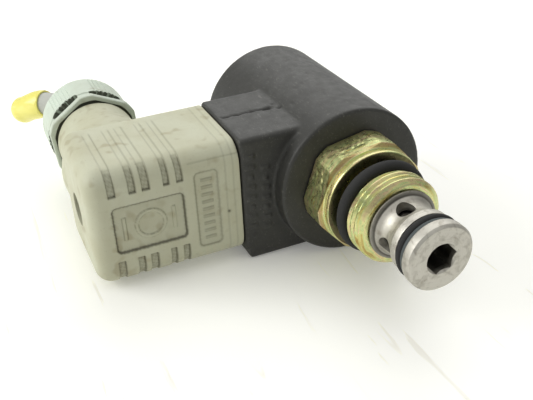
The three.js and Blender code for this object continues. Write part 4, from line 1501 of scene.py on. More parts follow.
@dataclass
class HexagonBody:
    """The zinc-plated body: hexagon, collar, undercut and thread."""

    rear: float = 0.3
    front: float = 8.1
    across_flats: float = 23.8
    corner_radius: float = 12.8
    flat_angle: float = 40.8
    chamfer_length: float = 0.75
    collar_radius: float = 11.7
    collar_front: float = 9.8
    undercut_radius: float = 8.0
    thread_rear: float = 14.8
    thread_front: float = 20.1
    thread_radius: float = 9.95
    thread_pitch: float = 1.5
    thread_depth: float = 0.62
    thread_chamfer: float = 1.2
    cage_bore: float = 6.6
    cage_bore_rear: float = 9.9
    pin_bore: float = 1.9
    spigot_rear: float = -6.0
    spigot_radius: float = 6.6
    stamp_depth: float = 0.13
    seal_middle: float = 12.6
    seal_section: float = 2.6
    collar: tuple[Point2, ...] = (
        (8.2, 11.45),
        (8.45, 11.3),
        (8.75, 11.4),
        (8.85, 11.66),
        (8.95, 11.7),
        (9.5, 11.7),
        (9.7, 11.64),
        (9.8, 11.45),
    )

    def build(self, shop: Workshop) -> None:
        """Builds the body and the large sealing ring in its undercut.

        Args:
            shop: The workshop.
        """
        shop.piece(self.shape(), "hex_body", HEXAGON_ZINC, Body.CARTRIDGE)
        seal = ring_seal(self.seal_middle, self.undercut_radius + 0.3, self.seal_section, 160)
        shop.piece(seal, "body_o_ring", RING_RUBBER, Body.CARTRIDGE)

    def hexagon(self) -> Hexagon:
        """The body's hexagon."""
        return Hexagon(self.across_flats, self.corner_radius, self.flat_angle)

    def shape(self) -> Solid:
        """The whole body as one skin of columns round the axis.

        Returns:
            The body.
        """
        angles = self.hexagon().columns(36, 8)
        outer = self.hexagon().radius(angles)
        slope = self.chamfer_length / (self.corner_radius - self.collar_radius)
        cone_start = self.front - (outer - self.collar_radius) * slope
        turning = Turning()
        rings = []

        def add(x: np.ndarray | float, radius: np.ndarray | float) -> None:
            """Adds one ring."""
            rings.append(turning.ring(x, radius, angles))

        add(self.spigot_rear, self.pin_bore)
        add(self.spigot_rear, self.spigot_radius)
        add(self.rear, self.spigot_radius)
        add(self.rear, outer - 0.45)
        add(self.rear + 0.15, outer - 0.12)
        for share in np.linspace(0, 1, 26):
            x = self.rear + 0.45 + share * (cone_start - self.rear - 0.5)
            add(x, outer - self._stamps(angles, x, share))
        for share in np.linspace(0, 1, 6):
            radius = outer + share * (self.collar_radius + 0.1 - outer)
            add(cone_start + share * (self.front - cone_start), radius)
        for x, radius in self.collar:
            add(x, radius)
        add(self.collar_front, self.undercut_radius + 0.2)
        add(self.collar_front + 0.2, self.undercut_radius)
        add(self.thread_rear - 0.2, self.undercut_radius)
        add(self.thread_rear - 0.05, self.undercut_radius + 0.3)
        serration = 0.16 * np.sign(np.sin(angles * 62))
        add(self.thread_rear, self.thread_radius - 0.75 + serration)
        for x in np.linspace(self.thread_rear + 0.12, self.thread_front - 0.08, 66):
            add(x, self._thread(angles, x))
        for x, radius in (
            (self.thread_front, self.thread_radius - self.thread_chamfer - 0.1),
            (self.thread_front, self.cage_bore + 0.25),
            (self.thread_front - 0.25, self.cage_bore),
            (self.cage_bore_rear, self.cage_bore),
            (self.cage_bore_rear, self.pin_bore),
        ):
            add(x, radius)
        return Solid.shell(rings, looped=True)

    def _stamps(self, angles: np.ndarray, x: np.ndarray, share: float) -> np.ndarray:
        """How deep the rough marks on the flats are at one ring.

        Args:
            angles: The columns' angles.
            x: The ring's place at each angle.
            share: How far across the flats it lies, from 0 to 1.

        Returns:
            The depth at each angle.
        """
        from_flat = np.degrees(self.hexagon().from_flat(angles))
        on_flat = 1 - smoothstep(15, 19.5, np.abs(from_flat))
        edge = smoothstep(0.06, 0.2, share) * (1 - smoothstep(0.72, 0.9, share))
        marks = np.zeros(len(angles))
        places = np.broadcast_to(x, angles.shape)
        for i, (angle, place, strength) in enumerate(zip(angles, places, on_flat)):
            if strength > 0:
                spot = Vector((place * 0.9, self.corner_radius * angle * 0.9, 4.0))
                marks[i] = strength * max(0.0, noise.noise(spot * 1.3) - 0.05) * 2.2
        return self.stamp_depth * np.clip(marks, 0, 1) * edge

    def _thread(self, angles: np.ndarray, x: float) -> np.ndarray:
        """The thread's radius at each angle of one ring, with its two ends chamfered.

        Args:
            angles: The columns' angles.
            x: The ring's place.

        Returns:
            The radius at each angle.
        """
        phase = (x / self.thread_pitch - angles / FULL_TURN) % 1
        ridge = np.clip(np.abs(phase - 0.5) * 2.9 - 0.3, 0, 1)
        radius = self.thread_radius - self.thread_depth * ridge
        front = self.thread_radius - self.thread_chamfer * (1 - (self.thread_front - x) / 0.85)
        rear = self.thread_radius - 0.6 + (x - self.thread_rear) * 2.4
        return np.minimum(np.minimum(radius, front), rear)


@dataclass
class Nose:
    """The steel cage with its cross holes, and the two rings in its groove."""

    tail_rear: float = 10.2
    tail_radius: float = 6.3
    shoulder_rear: float = 20.4
    shoulder_radius: float = 7.9
    waist_radius: float = 5.95
    land_radius: float = 7.05
    groove_rear: float = 28.85
    groove_front: float = 31.7
    groove_radius: float = 5.7
    flange_radius: float = 7.46
    face: float = 34.39
    bore_radius: float = 4.4
    seat_radius: float = 2.3
    seat_top: float = 26.79
    socket_flats: float = 6.0
    socket_floor: float = 29.19
    socket_lead: float = 0.45
    flat_angle: float = 40.8
    hole_x: float = 23.7
    hole_radius: float = 1.95
    hole_angle: float = 105.5
    hole_count: int = 4
    ring_gap: float = 0.1
    seal_middle: float = 29.75
    seal_section: float = 1.55
    backup_rear: float = 30.65
    backup_front: float = 31.55
    backup_radius: float = 7.1

    def build(self, shop: Workshop) -> None:
        """Builds the cage and its two rings.

        Args:
            shop: The workshop.
        """
        shop.piece(self.cage(), "valve_cage", NOSE_STEEL, Body.CARTRIDGE)
        inner = self.groove_radius + self.ring_gap
        seal = ring_seal(self.seal_middle, inner, self.seal_section, 144)
        shop.piece(seal, "nose_o_ring", RING_RUBBER, Body.CARTRIDGE)
        outline = [
            (self.backup_rear, inner, 0.1),
            (self.backup_rear, self.backup_radius, 0.15),
            (self.backup_front, self.backup_radius, 0.15),
            (self.backup_front, inner, 0.1),
        ]
        backup = Turning(128).body(rounded(outline))
        shop.piece(backup, "nose_backup_ring", BACKUP_PLASTIC, Body.CARTRIDGE)

    def cage(self) -> Solid:
        """The cage: turned, bored, drilled across and broached.

        Returns:
            The cage.
        """
        outline = rounded(
            [
                (self.tail_rear, self.bore_radius, 0.1),
                (self.tail_rear, self.tail_radius, 0.2),
                (self.shoulder_rear, self.tail_radius, 0.05),
                (self.shoulder_rear, self.shoulder_radius, 0.15),
                (self.shoulder_rear + 0.45, self.shoulder_radius, 0.15),
                (self.shoulder_rear + 0.7, 7.0, 0.2),
                (22.3, self.waist_radius + 0.28, 0.9),
                (24.2, self.waist_radius - 0.05, 1.6),
                (25.8, self.waist_radius + 0.3, 0.9),
                (26.9, self.land_radius - 0.08, 0.25),
                (27.15, self.land_radius, 0.1),
                (self.groove_rear, self.land_radius, 0.12),
                (self.groove_rear, self.groove_radius, 0.15),
                (self.groove_front, self.groove_radius, 0.15),
                (self.groove_front, self.flange_radius, 0.32),
                (self.face - 0.55, self.flange_radius, 0.12),
                (self.face, self.flange_radius - 0.55, 0.12),
                (self.face, self.seat_radius, 0),
                (self.seat_top + 2.1, self.seat_radius, 0),
                (self.seat_top, self.bore_radius, 0),
            ]
        )
        blank = Turning(128).body(outline)
        socket = hexagon_prism(self.socket_floor, self.face + 1, self.socket_flats, self.flat_angle)
        mouth = Turning(96).body(
            [
                (self.face + 1, 0.5),
                (self.face + 1, self.socket_flats / 2 + self.socket_lead + 1),
                (self.face - self.socket_lead, self.socket_flats / 2),
                (self.face - self.socket_lead, 0.5),
            ]
        )
        drill = rod_along_y(self.hole_x, 0, 0.5, 12, self.hole_radius)
        holes = []
        for i in range(self.hole_count):
            angle = self.hole_angle + 360 / self.hole_count * i
            turned = Solid(drill.mesh.copy())
            turned.mesh.transform(Matrix.Rotation(math.radians(angle), 4, "X"))
            holes.append(turned)
        return blank.minus(socket, mouth, *holes)


@dataclass
class RearEnd:
    """What holds the coil on: the pole piece's stud, and the nut with its sealing ring."""

    front: float = -47.3
    rear: float = -54.5
    across_flats: float = 19.0
    flat_angle: float = 40.8
    flange_radius: float = 11.5
    flange_thickness: float = 2.0
    bore: float = 4.4
    seal_pocket: float = 6.2
    seal_floor: float = -49.1
    seal_middle: float = -48.125
    seal_section: float = 1.5
    pole_front: float = -30.8
    pole_radius: float = 6.6
    pole_chamfer: float = 0.3
    shoulder_front: float = -44.3
    shoulder_rear: float = -45.3
    shoulder_radius: float = 7.5
    stud_end: float = -56.5
    stud_radius: float = 4.0
    thread_start: float = -45.6
    thread_margin: float = 0.5
    thread_depth: float = 0.35
    thread_edges: int = 36
    core: float = 0.05

    def build(self, shop: Workshop) -> None:
        """Builds the nut, its ring and the pole piece.

        Args:
            shop: The workshop.
        """
        shop.piece(self.nut(), "coil_nut", THREAD_ZINC, Body.COIL_NUT)
        seal = ring_seal(self.seal_middle, self.bore, self.seal_section, 96)
        shop.piece(seal, "coil_rear_o_ring", RING_RUBBER, Body.COIL_NUT)
        shop.piece(self.pole_piece(), "pole_piece", MAGNET_STEEL, Body.CARTRIDGE)

    def nut(self) -> Solid:
        """The flanged nut, with a chamfered hexagon.

        Returns:
            The nut.
        """
        corner = self.across_flats / 2 / math.cos(math.pi / 6) - 0.05
        hexagon = Hexagon(self.across_flats, corner, self.flat_angle)
        angles = hexagon.columns(24, 3)
        outer = hexagon.radius(angles)
        cone = self.rear + (outer - self.across_flats / 2 + 0.4) * 0.6
        turning = Turning()
        flange_rear = self.front - self.flange_thickness
        rows = [
            (self.front, self.seal_pocket),
            (self.front, self.flange_radius - 0.3),
            (self.front - 0.3, self.flange_radius),
            (flange_rear + 0.35, self.flange_radius),
            (flange_rear, self.flange_radius - 0.35),
            (flange_rear, outer + 0.15),
            (flange_rear - 0.15, outer),
            (cone, outer),
            (self.rear, self.across_flats / 2 - 0.4),
            (self.rear, self.bore + 0.5),
            (self.rear + 0.5, self.bore),
            (self.seal_floor, self.bore),
            (self.seal_floor, self.seal_pocket),
        ]
        return Solid.shell([turning.ring(x, radius, angles) for x, radius in rows], looped=True)

    def pole_piece(self) -> Solid:
        """The pole piece, with a fine thread cut on its stud.

        Returns:
            The pole piece.
        """
        outline = [
            (self.pole_front, self.core),
            (self.pole_front, self.pole_radius - self.pole_chamfer),
            (self.pole_front - self.pole_chamfer, self.pole_radius),
            (self.shoulder_front, self.pole_radius),
            (self.shoulder_front, self.shoulder_radius),
            (self.shoulder_rear, self.shoulder_radius),
            (self.shoulder_rear, self.stud_radius - self.thread_depth),
        ]
        thread_length = self.thread_start - self.thread_margin - self.stud_end
        for i in range(self.thread_edges):
            x = self.thread_start - thread_length * i / (self.thread_edges - 1)
            outline.append((x, self.stud_radius - (self.thread_depth if i % 2 else 0.0)))
        outline += [(self.stud_end, self.stud_radius - 0.6), (self.stud_end, self.core)]
        return Turning(64).body(outline)


# ---- plug


@dataclass
class Plug:
    """The right-angle cable plug: its moulded housing with the gland's neck, and its screw."""

    front: float = -4.33
    rear: float = -31.33
    half: float = 13.8
    mouth: float = -25.5
    end: float = -59.0
    edge_radius: float = 4.5
    end_radius: float = 3.5
    wall: float = 1.8
    end_wall: float = 3.6
    gland_y: float = -47.2
    gland_rise: float = 1.0
    neck_end: float = -48.43
    neck_radius: float = 10.0
    root_radius: float = 12.3
    taper_length: float = 11.0
    spigot_end: float = -55.83
    spigot_radius: float = 8.8
    spigot_bore: float = 6.6
    screw_pocket_radius: float = 3.8
    screw_pocket_floor: float = -54.8
    screw_hole_radius: float = 1.9
    grooves: tuple[Point2, ...] = (
        (-54.4, -52.9),
        (-50.0, -48.6),
        (-47.2, -45.6),
        (-42.6, -41.4),
        (-39.7, -38.4),
    )
    groove_rear: float = -26.0
    groove_depth: float = 0.5
    groove_depth_on_top: float = 0.09
    upper_groove_end: float = 8.2
    lower_groove_end: float = -7.6
    large_panel: tuple[Point2, Point2] = ((-54.2, -38.5), (-5.6, 5.6))
    small_panel: tuple[Point2, Point2] = ((-36.0, -30.6), (-9.3, 9.3))
    panel_depth: float = 0.5
    panel_corner: float = 1.1
    emblem_y: float = -46.2
    emblem_radius: float = 3.1
    emblem_bars: Point2 = (-51.9, -41.0)
    emblem_height: float = 0.34
    pips: int = 9
    pip_y: float = -33.3
    pip_pitch: float = 1.8
    pip_height: float = 0.2
    step_lines: Point2 = (-28.8, -27.0)
    parting_height: float = 11.4
    parting_end: float = -37.0
    spot: Point2 = (-28.6, -1.9)
    screw_end: float = -58.2
    screw_head_base: float = -56.2
    screw_head_radius: float = 2.9
    screw_radius: float = 1.5
    screw_tip: float = -19.2
    screw_tip_radius: float = 1.1
    screw_columns: int = 64
    slot_floor: float = -57.3
    slot_half: float = 0.4

    def middle(self) -> float:
        """The plug's middle in X."""
        return (self.front + self.rear) / 2

    def build(self, shop: Workshop) -> None:
        """Builds the housing and the screw through it."""
        shop.piece(self.housing(), "connector_housing", PLUG_PLASTIC, Body.PLUG)
        shop.piece(self.screw(), "connector_screw", SCREW_STEEL, Body.CONNECTOR_SCREW)

    def housing(self) -> Solid:
        """The housing: block and neck in one skin, hollowed out, with its grooves and panels.

        Returns:
            The housing.
        """
        half_x = (self.front - self.rear) / 2
        blank = self._block(half_x, self.half, self.edge_radius, self.mouth, self.end, self.end_radius)
        turning = Turning(144, (self.gland_y, self.gland_rise))
        neck = turning.body(
            rounded(
                [
                    (self.rear + 8, 6, 0),
                    (self.rear + 8, self.root_radius - 1.5, 0.5),
                    (self.rear + 2.5, self.root_radius - 0.2, 2),
                    (self.rear - 0.8, self.root_radius - 0.1, 2),
                    (self.rear - self.taper_length, self.neck_radius, 4),
                    (self.neck_end, self.neck_radius, 0.3),
                    (self.neck_end, 6, 0),
                ]
            )
        )
        skin = Solid.joined(blank, neck).moulded(0.2, 9)
        spigot = turning.body(
            rounded(
                [
                    (self.neck_end + 2, 6.2, 0),
                    (self.neck_end + 2, self.spigot_radius, 0),
                    (self.spigot_end, self.spigot_radius, 0.3),
                    (self.spigot_end, 6.2, 0),
                ]
            )
        )
        cavity = self._block(
            half_x - self.wall,
            self.half - self.wall,
            self.edge_radius - self.wall,
            self.mouth + 3,
            self.end + self.end_wall,
            0.6,
        )
        bore = turning.body(
            [
                (self.spigot_end - 2, 0.3),
                (self.spigot_end - 2, self.spigot_bore),
                (self.middle(), self.spigot_bore),
                (self.middle(), 0.3),
            ]
        )
        start, pocket_radius = self.end - 2, self.screw_pocket_radius
        pocket = rod_along_y(self.middle(), 0, start, self.screw_pocket_floor, pocket_radius, 72)
        hole = rod_along_y(self.middle(), 0, start, self.mouth, self.screw_hole_radius)
        reach = self.half + 5
        trim = box((self.rear - 5, self.mouth, -reach), (self.front + 5, self.mouth + 5, reach))
        shape = skin.plus(spigot).minus(cavity, bore, pocket, hole, trim)
        return shape.pressed(self._relief)

    def _block(
        self, half_x: float, half_z: float, edge: float, mouth: float, end: float, end_radius: float
    ) -> Solid:
        """A block along -Y with round long edges and a rounded far end.

        Args:
            half_x: Half its size in X.
            half_z: Half its size in Z.
            edge: The radius of its long edges.
            mouth: Where it starts.
            end: Where it ends.
            end_radius: The rounding of its far end.

        Returns:
            The block.
        """
        stations = [(mouth, 0.0), ((mouth + end) / 2, 0.0)]
        for angle in np.linspace(0, math.pi / 2, 9):
            y = end + end_radius * (1 - math.sin(angle))
            stations.append((y, end_radius * (1 - math.cos(angle))))
        rings = []
        for y, inset in stations:
            corner = max(edge - inset, 0.6)
            outline = round_box_outline((self.middle(), 0), (half_x - inset, half_z - inset), corner)
            rings.append(ring_across_y(*outline.T, y))
        return Solid.shell(rings, looped=False)

    def _relief(self, points: np.ndarray, normals: np.ndarray) -> tuple[np.ndarray, np.ndarray]:
        """The housing's grip grooves, recessed panels and step lines.

        Args:
            points: The skin's points.
            normals: Their normals.

        Returns:
            How far each point is pressed in, and how dirty it is.
        """
        x, y, z = points.T
        outside = (x > self.groove_rear) & self._on_skin(points)
        front = smoothstep(0.25, 0.75, normals[:, 0]) * outside
        depth = np.zeros(len(points))
        dirt = np.zeros(len(points))
        grain = np.sin(5.1 * y + 1.7 * z) * np.sin(4.3 * z - 2.2 * y) + 0.5 * np.sin(11 * y + 9 * z)
        for low, high in self.grooves:
            across = smoothstep(low - 0.12, low + 0.12, y)
            across = across * (1 - smoothstep(high - 0.12, high + 0.12, y))
            upper = smoothstep(self.upper_groove_end - 0.15, self.upper_groove_end + 0.15, z)
            lower = 1 - smoothstep(self.lower_groove_end - 0.15, self.lower_groove_end + 0.15, z)
            fade = smoothstep(self.groove_rear, self.groove_rear + 2, x)
            deep = self.groove_depth_on_top + (self.groove_depth - self.groove_depth_on_top) * front
            faces = (normals[:, 0] > -0.2) & (normals[:, 1] > -0.6)
            here = across * (upper + lower) * fade * outside * faces
            depth += deep * here
            edge = np.exp(-(((y - high) / 0.15) ** 2))
            edge = edge + 0.5 * np.exp(-(((y - low) / 0.13) ** 2))
            dirt += edge * (upper + lower) * fade * outside * faces * (0.42 + 0.2 * front)
            ends = np.exp(-(((z - self.upper_groove_end - 0.1) / 0.2) ** 2))
            ends += np.exp(-(((z - self.lower_groove_end + 0.1) / 0.2) ** 2))
            dirt += here * front * (0.24 + 0.14 * grain) + 0.5 * ends * across * front
        on_front = (normals[:, 0] > 0.8) & outside
        for (y_span, z_span), darkness, share in (
            (self.large_panel, 0.85, 1.0),
            (self.small_panel, 0.4, 0.45),
        ):
            distance = self._panel_distance(y, z, y_span, z_span, self.panel_corner)
            inside = 1 - smoothstep(-0.22, 0.05, distance)
            depth += share * self.panel_depth * inside * on_front
            ragged = 0.24 + 0.08 * grain
            outline = np.exp(-(((distance + 0.12) / ragged) ** 2))
            dirt += (darkness * outline + 0.06 * inside) * on_front
        marks = self._emblems(y, z)
        depth -= marks * on_front
        round_foot = smoothstep(0.02, 0.1, marks) * (1 - smoothstep(0.16, 0.26, marks))
        dirt += 0.34 * round_foot * on_front
        for line_y in self.step_lines:
            line = np.exp(-(((y - line_y) / 0.16) ** 2)) * self._on_skin(points)
            depth += 0.07 * line
            dirt += 0.2 * line
        parting = np.exp(-(((z - self.parting_height - 0.04 * (x + 8)) / 0.16) ** 2))
        parting = parting * on_upper_edge(normals) * outside * (y > self.parting_end)
        depth += 0.05 * parting
        dirt += 0.22 * parting
        from_spot = (y - self.spot[0]) ** 2 + (z - self.spot[1]) ** 2
        spot = np.exp(-from_spot / 0.12) * on_front
        return depth, np.clip(dirt + 0.9 * spot, 0, 0.92)

    def _on_skin(self, points: np.ndarray) -> np.ndarray:
        """True for points on the block's outer faces.

        Args:
            points: The points.

        Returns:
            True or false for each point.
        """
        x, y, z = points.T
        half_x = (self.front - self.rear) / 2
        from_middle = np.maximum(np.abs(x - self.middle()) - half_x, np.abs(z) - self.half)
        return (from_middle > -self.wall * 0.75) & (y < self.mouth - 0.05)

    @staticmethod
    def _panel_distance(
        y: np.ndarray, z: np.ndarray, y_span: Point2, z_span: Point2, radius: float
    ) -> np.ndarray:
        """The distance to the edge of a rectangle with round corners, negative inside it.

        Args:
            y: The places along the plug.
            z: The heights.
            y_span: Its two ends in Y.
            z_span: Its two ends in Z.
            radius: Its corners' radius.

        Returns:
            The distances.
        """
        from_y = np.abs(y - sum(y_span) / 2) - (y_span[1] - y_span[0]) / 2 + radius
        from_z = np.abs(z - sum(z_span) / 2) - (z_span[1] - z_span[0]) / 2 + radius
        outside = np.hypot(np.maximum(from_y, 0), np.maximum(from_z, 0))
        return outside + np.minimum(np.maximum(from_y, from_z), 0) - radius

    def _emblems(self, y: np.ndarray, z: np.ndarray) -> np.ndarray:
        """How far the plain marks stand up from the panels' floors.

        Args:
            y: The points' places along the plug.
            z: The points' heights.

        Returns:
            The height of a ring with a bar in the large panel, and of a row of pips in the small.
        """
        from_ring = np.abs(np.hypot(y - self.emblem_y, z) - self.emblem_radius)
        height = self.emblem_height * (1 - smoothstep(0.25, 0.5, from_ring))
        for bar_y in self.emblem_bars:
            across = 1 - smoothstep(0.3, 0.5, np.abs(y - bar_y))
            bar = across * (1 - smoothstep(2.6, 2.9, np.abs(z)))
            height += self.emblem_height * bar
        pip_across = 1 - smoothstep(1.2, 1.45, np.abs(y - self.pip_y))
        for i in range(self.pips):
            pip_z = (i - (self.pips - 1) / 2) * self.pip_pitch
            pip = 1 - smoothstep(0.26, 0.44, np.abs(z - pip_z))
            height += self.pip_height * pip * pip_across
        return height

    def screw(self) -> Solid:
        """The long centre screw with its slotted cheese head.

        Returns:
            The screw.
        """
        profile = rounded(
            [
                (self.screw_end, 0, 0),
                (self.screw_end, self.screw_head_radius, 0.35),
                (self.screw_head_base, self.screw_head_radius, 0.2),
                (self.screw_head_base, self.screw_radius, 0),
                (self.screw_tip - 0.4, self.screw_radius, 0.3),
                (self.screw_tip, self.screw_tip_radius, 0),
                (self.screw_tip, 0, 0),
            ],
            looped=False,
        )[1:-1]
        angles = np.linspace(0, FULL_TURN, self.screw_columns, endpoint=False)
        rings = []
        for y, radius in profile:
            x, z = self.middle() + radius * np.cos(angles), radius * np.sin(angles)
            rings.append(ring_across_y(x, z, y))
        low = (self.middle() - 6, self.screw_end - 1, -self.slot_half)
        slot = box(low, (self.middle() + 6, self.slot_floor, self.slot_half))
        return Solid.shell(rings, looped=False).minus(slot)


def on_upper_edge(normals: np.ndarray) -> np.ndarray:
    """True on the rounding between the front and the upper face."""
    return (normals[:, 0] > 0.25) & (normals[:, 2] > 0.25)


@dataclass
class GlandNut:
    """The gland's nut: a thin hexagonal flange, open pockets behind it and a ribbed cap."""

    gland_y: float = -47.2
    gland_rise: float = 1.0
    front: float = -48.73
    band_rear: float = -50.53
    waist_rear: float = -52.93
    rear: float = -65.53
    across_flats: float = 22.0
    corner_radius: float = 11.9
    flat_angle: float = 65.0
    waist_radius: float = 9.0
    cap_radius: float = 11.3
    end_radius: float = 3.6
    hole_radius: float = 9.2
    hole_rear: float = -57.23
    exit_radius: float = 3.85
    rib_height: float = 0.2
    ribs_per_group: int = 5
    rib_group_half: float = 14.0
    pocket_half: float = 21.0
    recess_depth: float = 1.2
    inner_flats: float = 19.9
    inner_corner: float = 10.5
    pocket_depth: float = 0.7

    def build(self, shop: Workshop) -> None:
        """Builds the nut."""
        shop.piece(self.shape(), "gland_nut", NUT_PLASTIC, Body.GLAND_NUT)

    def shape(self) -> Solid:
        """The nut as one skin of columns round the gland's axis.

        Returns:
            The nut.
        """
        flange = Hexagon(self.across_flats, self.corner_radius, self.flat_angle)
        angles = flange.columns(72, 14)
        turning = Turning(centre=(self.gland_y, self.gland_rise))
        outer = flange.radius(angles)
        inner = Hexagon(self.inner_flats, self.inner_corner, self.flat_angle).radius(angles)
        from_flat = np.abs(np.degrees(flange.from_flat(angles)))
        in_pocket = 1 - smoothstep(self.pocket_half - 1.5, self.pocket_half + 1.5, from_flat)
        waist = self.cap_radius - 0.25 - (self.cap_radius - 0.25 - self.waist_radius) * in_pocket
        ribs = self._ribs(np.degrees(flange.from_flat(angles)))
        uneven = ribs / self.rib_height + 0.4 * np.sin(angles * 23)
        ragged = (0.45 * uneven - self.pocket_depth) * in_pocket
        rows: list[tuple[np.ndarray | float, np.ndarray | float]] = [
            (self.front - self.recess_depth, self.hole_radius),
            (self.front - self.recess_depth, inner - 0.1),
            (self.front - 0.1, inner),
            (self.front, inner + 0.12),
            (self.front, outer - 0.2),
            (self.front - 0.2, outer),
            (self.band_rear + 0.2, outer),
            (self.band_rear, outer - 0.2),
            (self.band_rear, np.minimum(waist + 0.15, outer - 0.3)),
            (self.band_rear - 0.15, np.minimum(waist, outer - 0.35)),
            (self.waist_rear + 0.15 + ragged, waist),
            (self.waist_rear + ragged, np.minimum(waist + 0.15, self.cap_radius - 0.2)),
            (self.waist_rear + ragged, self.cap_radius - 0.2),
            (self.waist_rear - 0.2 + ragged * 0.6, self.cap_radius - ribs),
        ]
        straight_end = self.rear + self.end_radius
        for x in np.linspace(self.waist_rear - 1.5, straight_end, 12):
            rows.append((x, self.cap_radius - ribs))
        flat = self.cap_radius - self.end_radius
        for angle in np.linspace(0, math.pi / 2, 12)[1:]:
            fade = max(0.0, 1 - angle / 0.9)
            x = straight_end - self.end_radius * math.sin(angle)
            rows.append((x, flat + self.end_radius * math.cos(angle) - ribs * fade))
        rows += [
            (self.rear, self.exit_radius + 0.4),
            (self.rear + 0.4, self.exit_radius),
            (self.hole_rear, self.exit_radius),
            (self.hole_rear, self.hole_radius),
        ]
        nut = Solid.shell([turning.ring(x, radius, angles) for x, radius in rows], looped=True)
        return nut.pressed(self._painted_shade)

    def _painted_shade(self, points: np.ndarray, normals: np.ndarray) -> tuple[np.ndarray, np.ndarray]:
        """Painted shade: the pockets behind the flange and the recess of the front face are painted
        dark.

        Args:
            points: The nut's points.
            normals: Their normals.

        Returns:
            No pressing, and how dark each point is painted as shade.
        """
        x, y, z = points.T
        radius = np.hypot(y - self.gland_y, z - self.gland_rise)
        pocket_floor = self.waist_rear - self.pocket_depth - 0.1
        behind_band = (x < self.band_rear - 0.02) & (x > pocket_floor)
        deep = (radius < self.cap_radius - 0.6) | (x < self.waist_rear - 0.02)
        deep |= normals[:, 0] > 0.7
        pocket = behind_band & deep & (radius < self.cap_radius - 0.14)
        recess = (x < self.front - self.recess_depth + 0.2) & (x > self.band_rear + 0.3)
        recess &= radius < self.inner_corner + 0.1
        # Painted shade: dark colour where shade falls in the pockets and the front recess.
        return np.zeros(len(points)), np.where(pocket, 0.86, 0) + np.where(recess, 0.9, 0)

    def _ribs(self, from_flat: np.ndarray) -> np.ndarray:
        """How deep the cap is cut between its ribs at each angle.

        Args:
            from_flat: Each column's angle from the nearest flat's middle, in degrees.

        Returns:
            The depth at each angle.
        """
        half = self.rib_group_half
        in_group = 1 - smoothstep(half - 0.6, half + 0.6, np.abs(from_flat))
        pitch = 2 * half / self.ribs_per_group
        wave = np.abs(((from_flat + half) / pitch) % 1 - 0.5) * 2
        return self.rib_height * in_group * smoothstep(0.45, 0.85, wave)


@dataclass
class Lead:
    """The short cut lead and the soft sleeve over its end."""

    gland_y: float = -47.2
    gland_rise: float = 1.0
    nut_rear: float = -65.53
    radius: float = 3.15
    sleeve_gap: float = 0.12
    sleeve_wall: float = 0.55
    columns: int = 40
    route: tuple[Point3, ...] = (
        (28, 0, 0),
        (12, 0, 0),
        (0, 0, 0),
        (-3, -0.8, 0),
        (-7.5, -3.5, 0.4),
        (-12.5, -7.8, 0.3),
        (-16.7, -11.1, -1.5),
        (-19.6, -13.2, -3.1),
    )
    sleeve_start: float = 5 / 7

    def line(self) -> Route:
        """The lead's centre line in the valve's frame."""
        start = (self.nut_rear, self.gland_y, self.gland_rise)
        return Route(tuple(tuple(a + b for a, b in zip(start, point)) for point in self.route))

    def build(self, shop: Workshop) -> None:
        """Builds the lead and its sleeve."""
        shop.piece(self.stub(), "lead_stub", LEAD_JACKET, Body.PLUG)
        shop.piece(self.sleeve(), "lead_end_sleeve", YELLOW_SLEEVE, Body.PLUG)

    def stub(self) -> Solid:
        """The lead, a little uneven as a cut end that has been bent is.

        Returns:
            The lead.
        """
        shares = np.linspace(0, 1, 70)
        radii = [self.radius - 0.03 + 0.03 * math.sin(share * 37) for share in shares]
        radii[-1] -= 0.3
        return Solid.shell(self.line().swept(shares, radii, self.columns), looped=False)

    def sleeve(self) -> Solid:
        """The sleeve: open at its mouth, thin-walled, closed and round at its end.

        Returns:
            The sleeve.
        """
        line = self.line()
        inner = self.radius + self.sleeve_gap
        outer = inner + self.sleeve_wall
        shares = list(np.linspace(self.sleeve_start, 1, 26))
        swell = [outer + 0.1 * math.sin((share - self.sleeve_start) * 22) for share in shares]
        swell[0] = outer - 0.15
        outside = line.swept(shares, swell, self.columns)
        tip = line.at(1)
        ahead = tip - line.at(0.985)
        ahead /= np.linalg.norm(ahead)
        last = outside[-1]
        for angle in np.linspace(0, math.pi / 2, 10)[1:-1]:
            shrunk = tip + (last - tip) * math.cos(angle)
            outside.append(shrunk + ahead * outer * 0.98 * math.sin(angle))
        inside = line.swept([self.sleeve_start, *shares[1:]], [inner] * len(shares), self.columns)
        end = inside[-1] + ahead * 0.15
        rings = [*reversed(outside), *inside, end]
        return Solid.shell(rings, looped=False)


@dataclass
class Springs:
    """The armature's and the poppet's springs."""

    names: tuple[str, ...] = ("armature_spring", "poppet_spring")
    joint: str = "armature_slide"

    def build(
        self, shop: Workshop, joints: Sequence[dict], nodes: dict[str, bpy.types.Object]
    ) -> None:
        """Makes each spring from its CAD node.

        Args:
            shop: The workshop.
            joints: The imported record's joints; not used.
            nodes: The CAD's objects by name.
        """
        for name in self.names:
            mesh = nodes[name].data.copy()
            mesh.transform(Matrix.Scale(1 / MM, 4) @ shop.frame.matrix.inverted())
            made = shop.piece(Solid(mesh), name, SPRING_STEEL, Body.CARTRIDGE)
            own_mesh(made)


# ---- pieces kept from the CAD


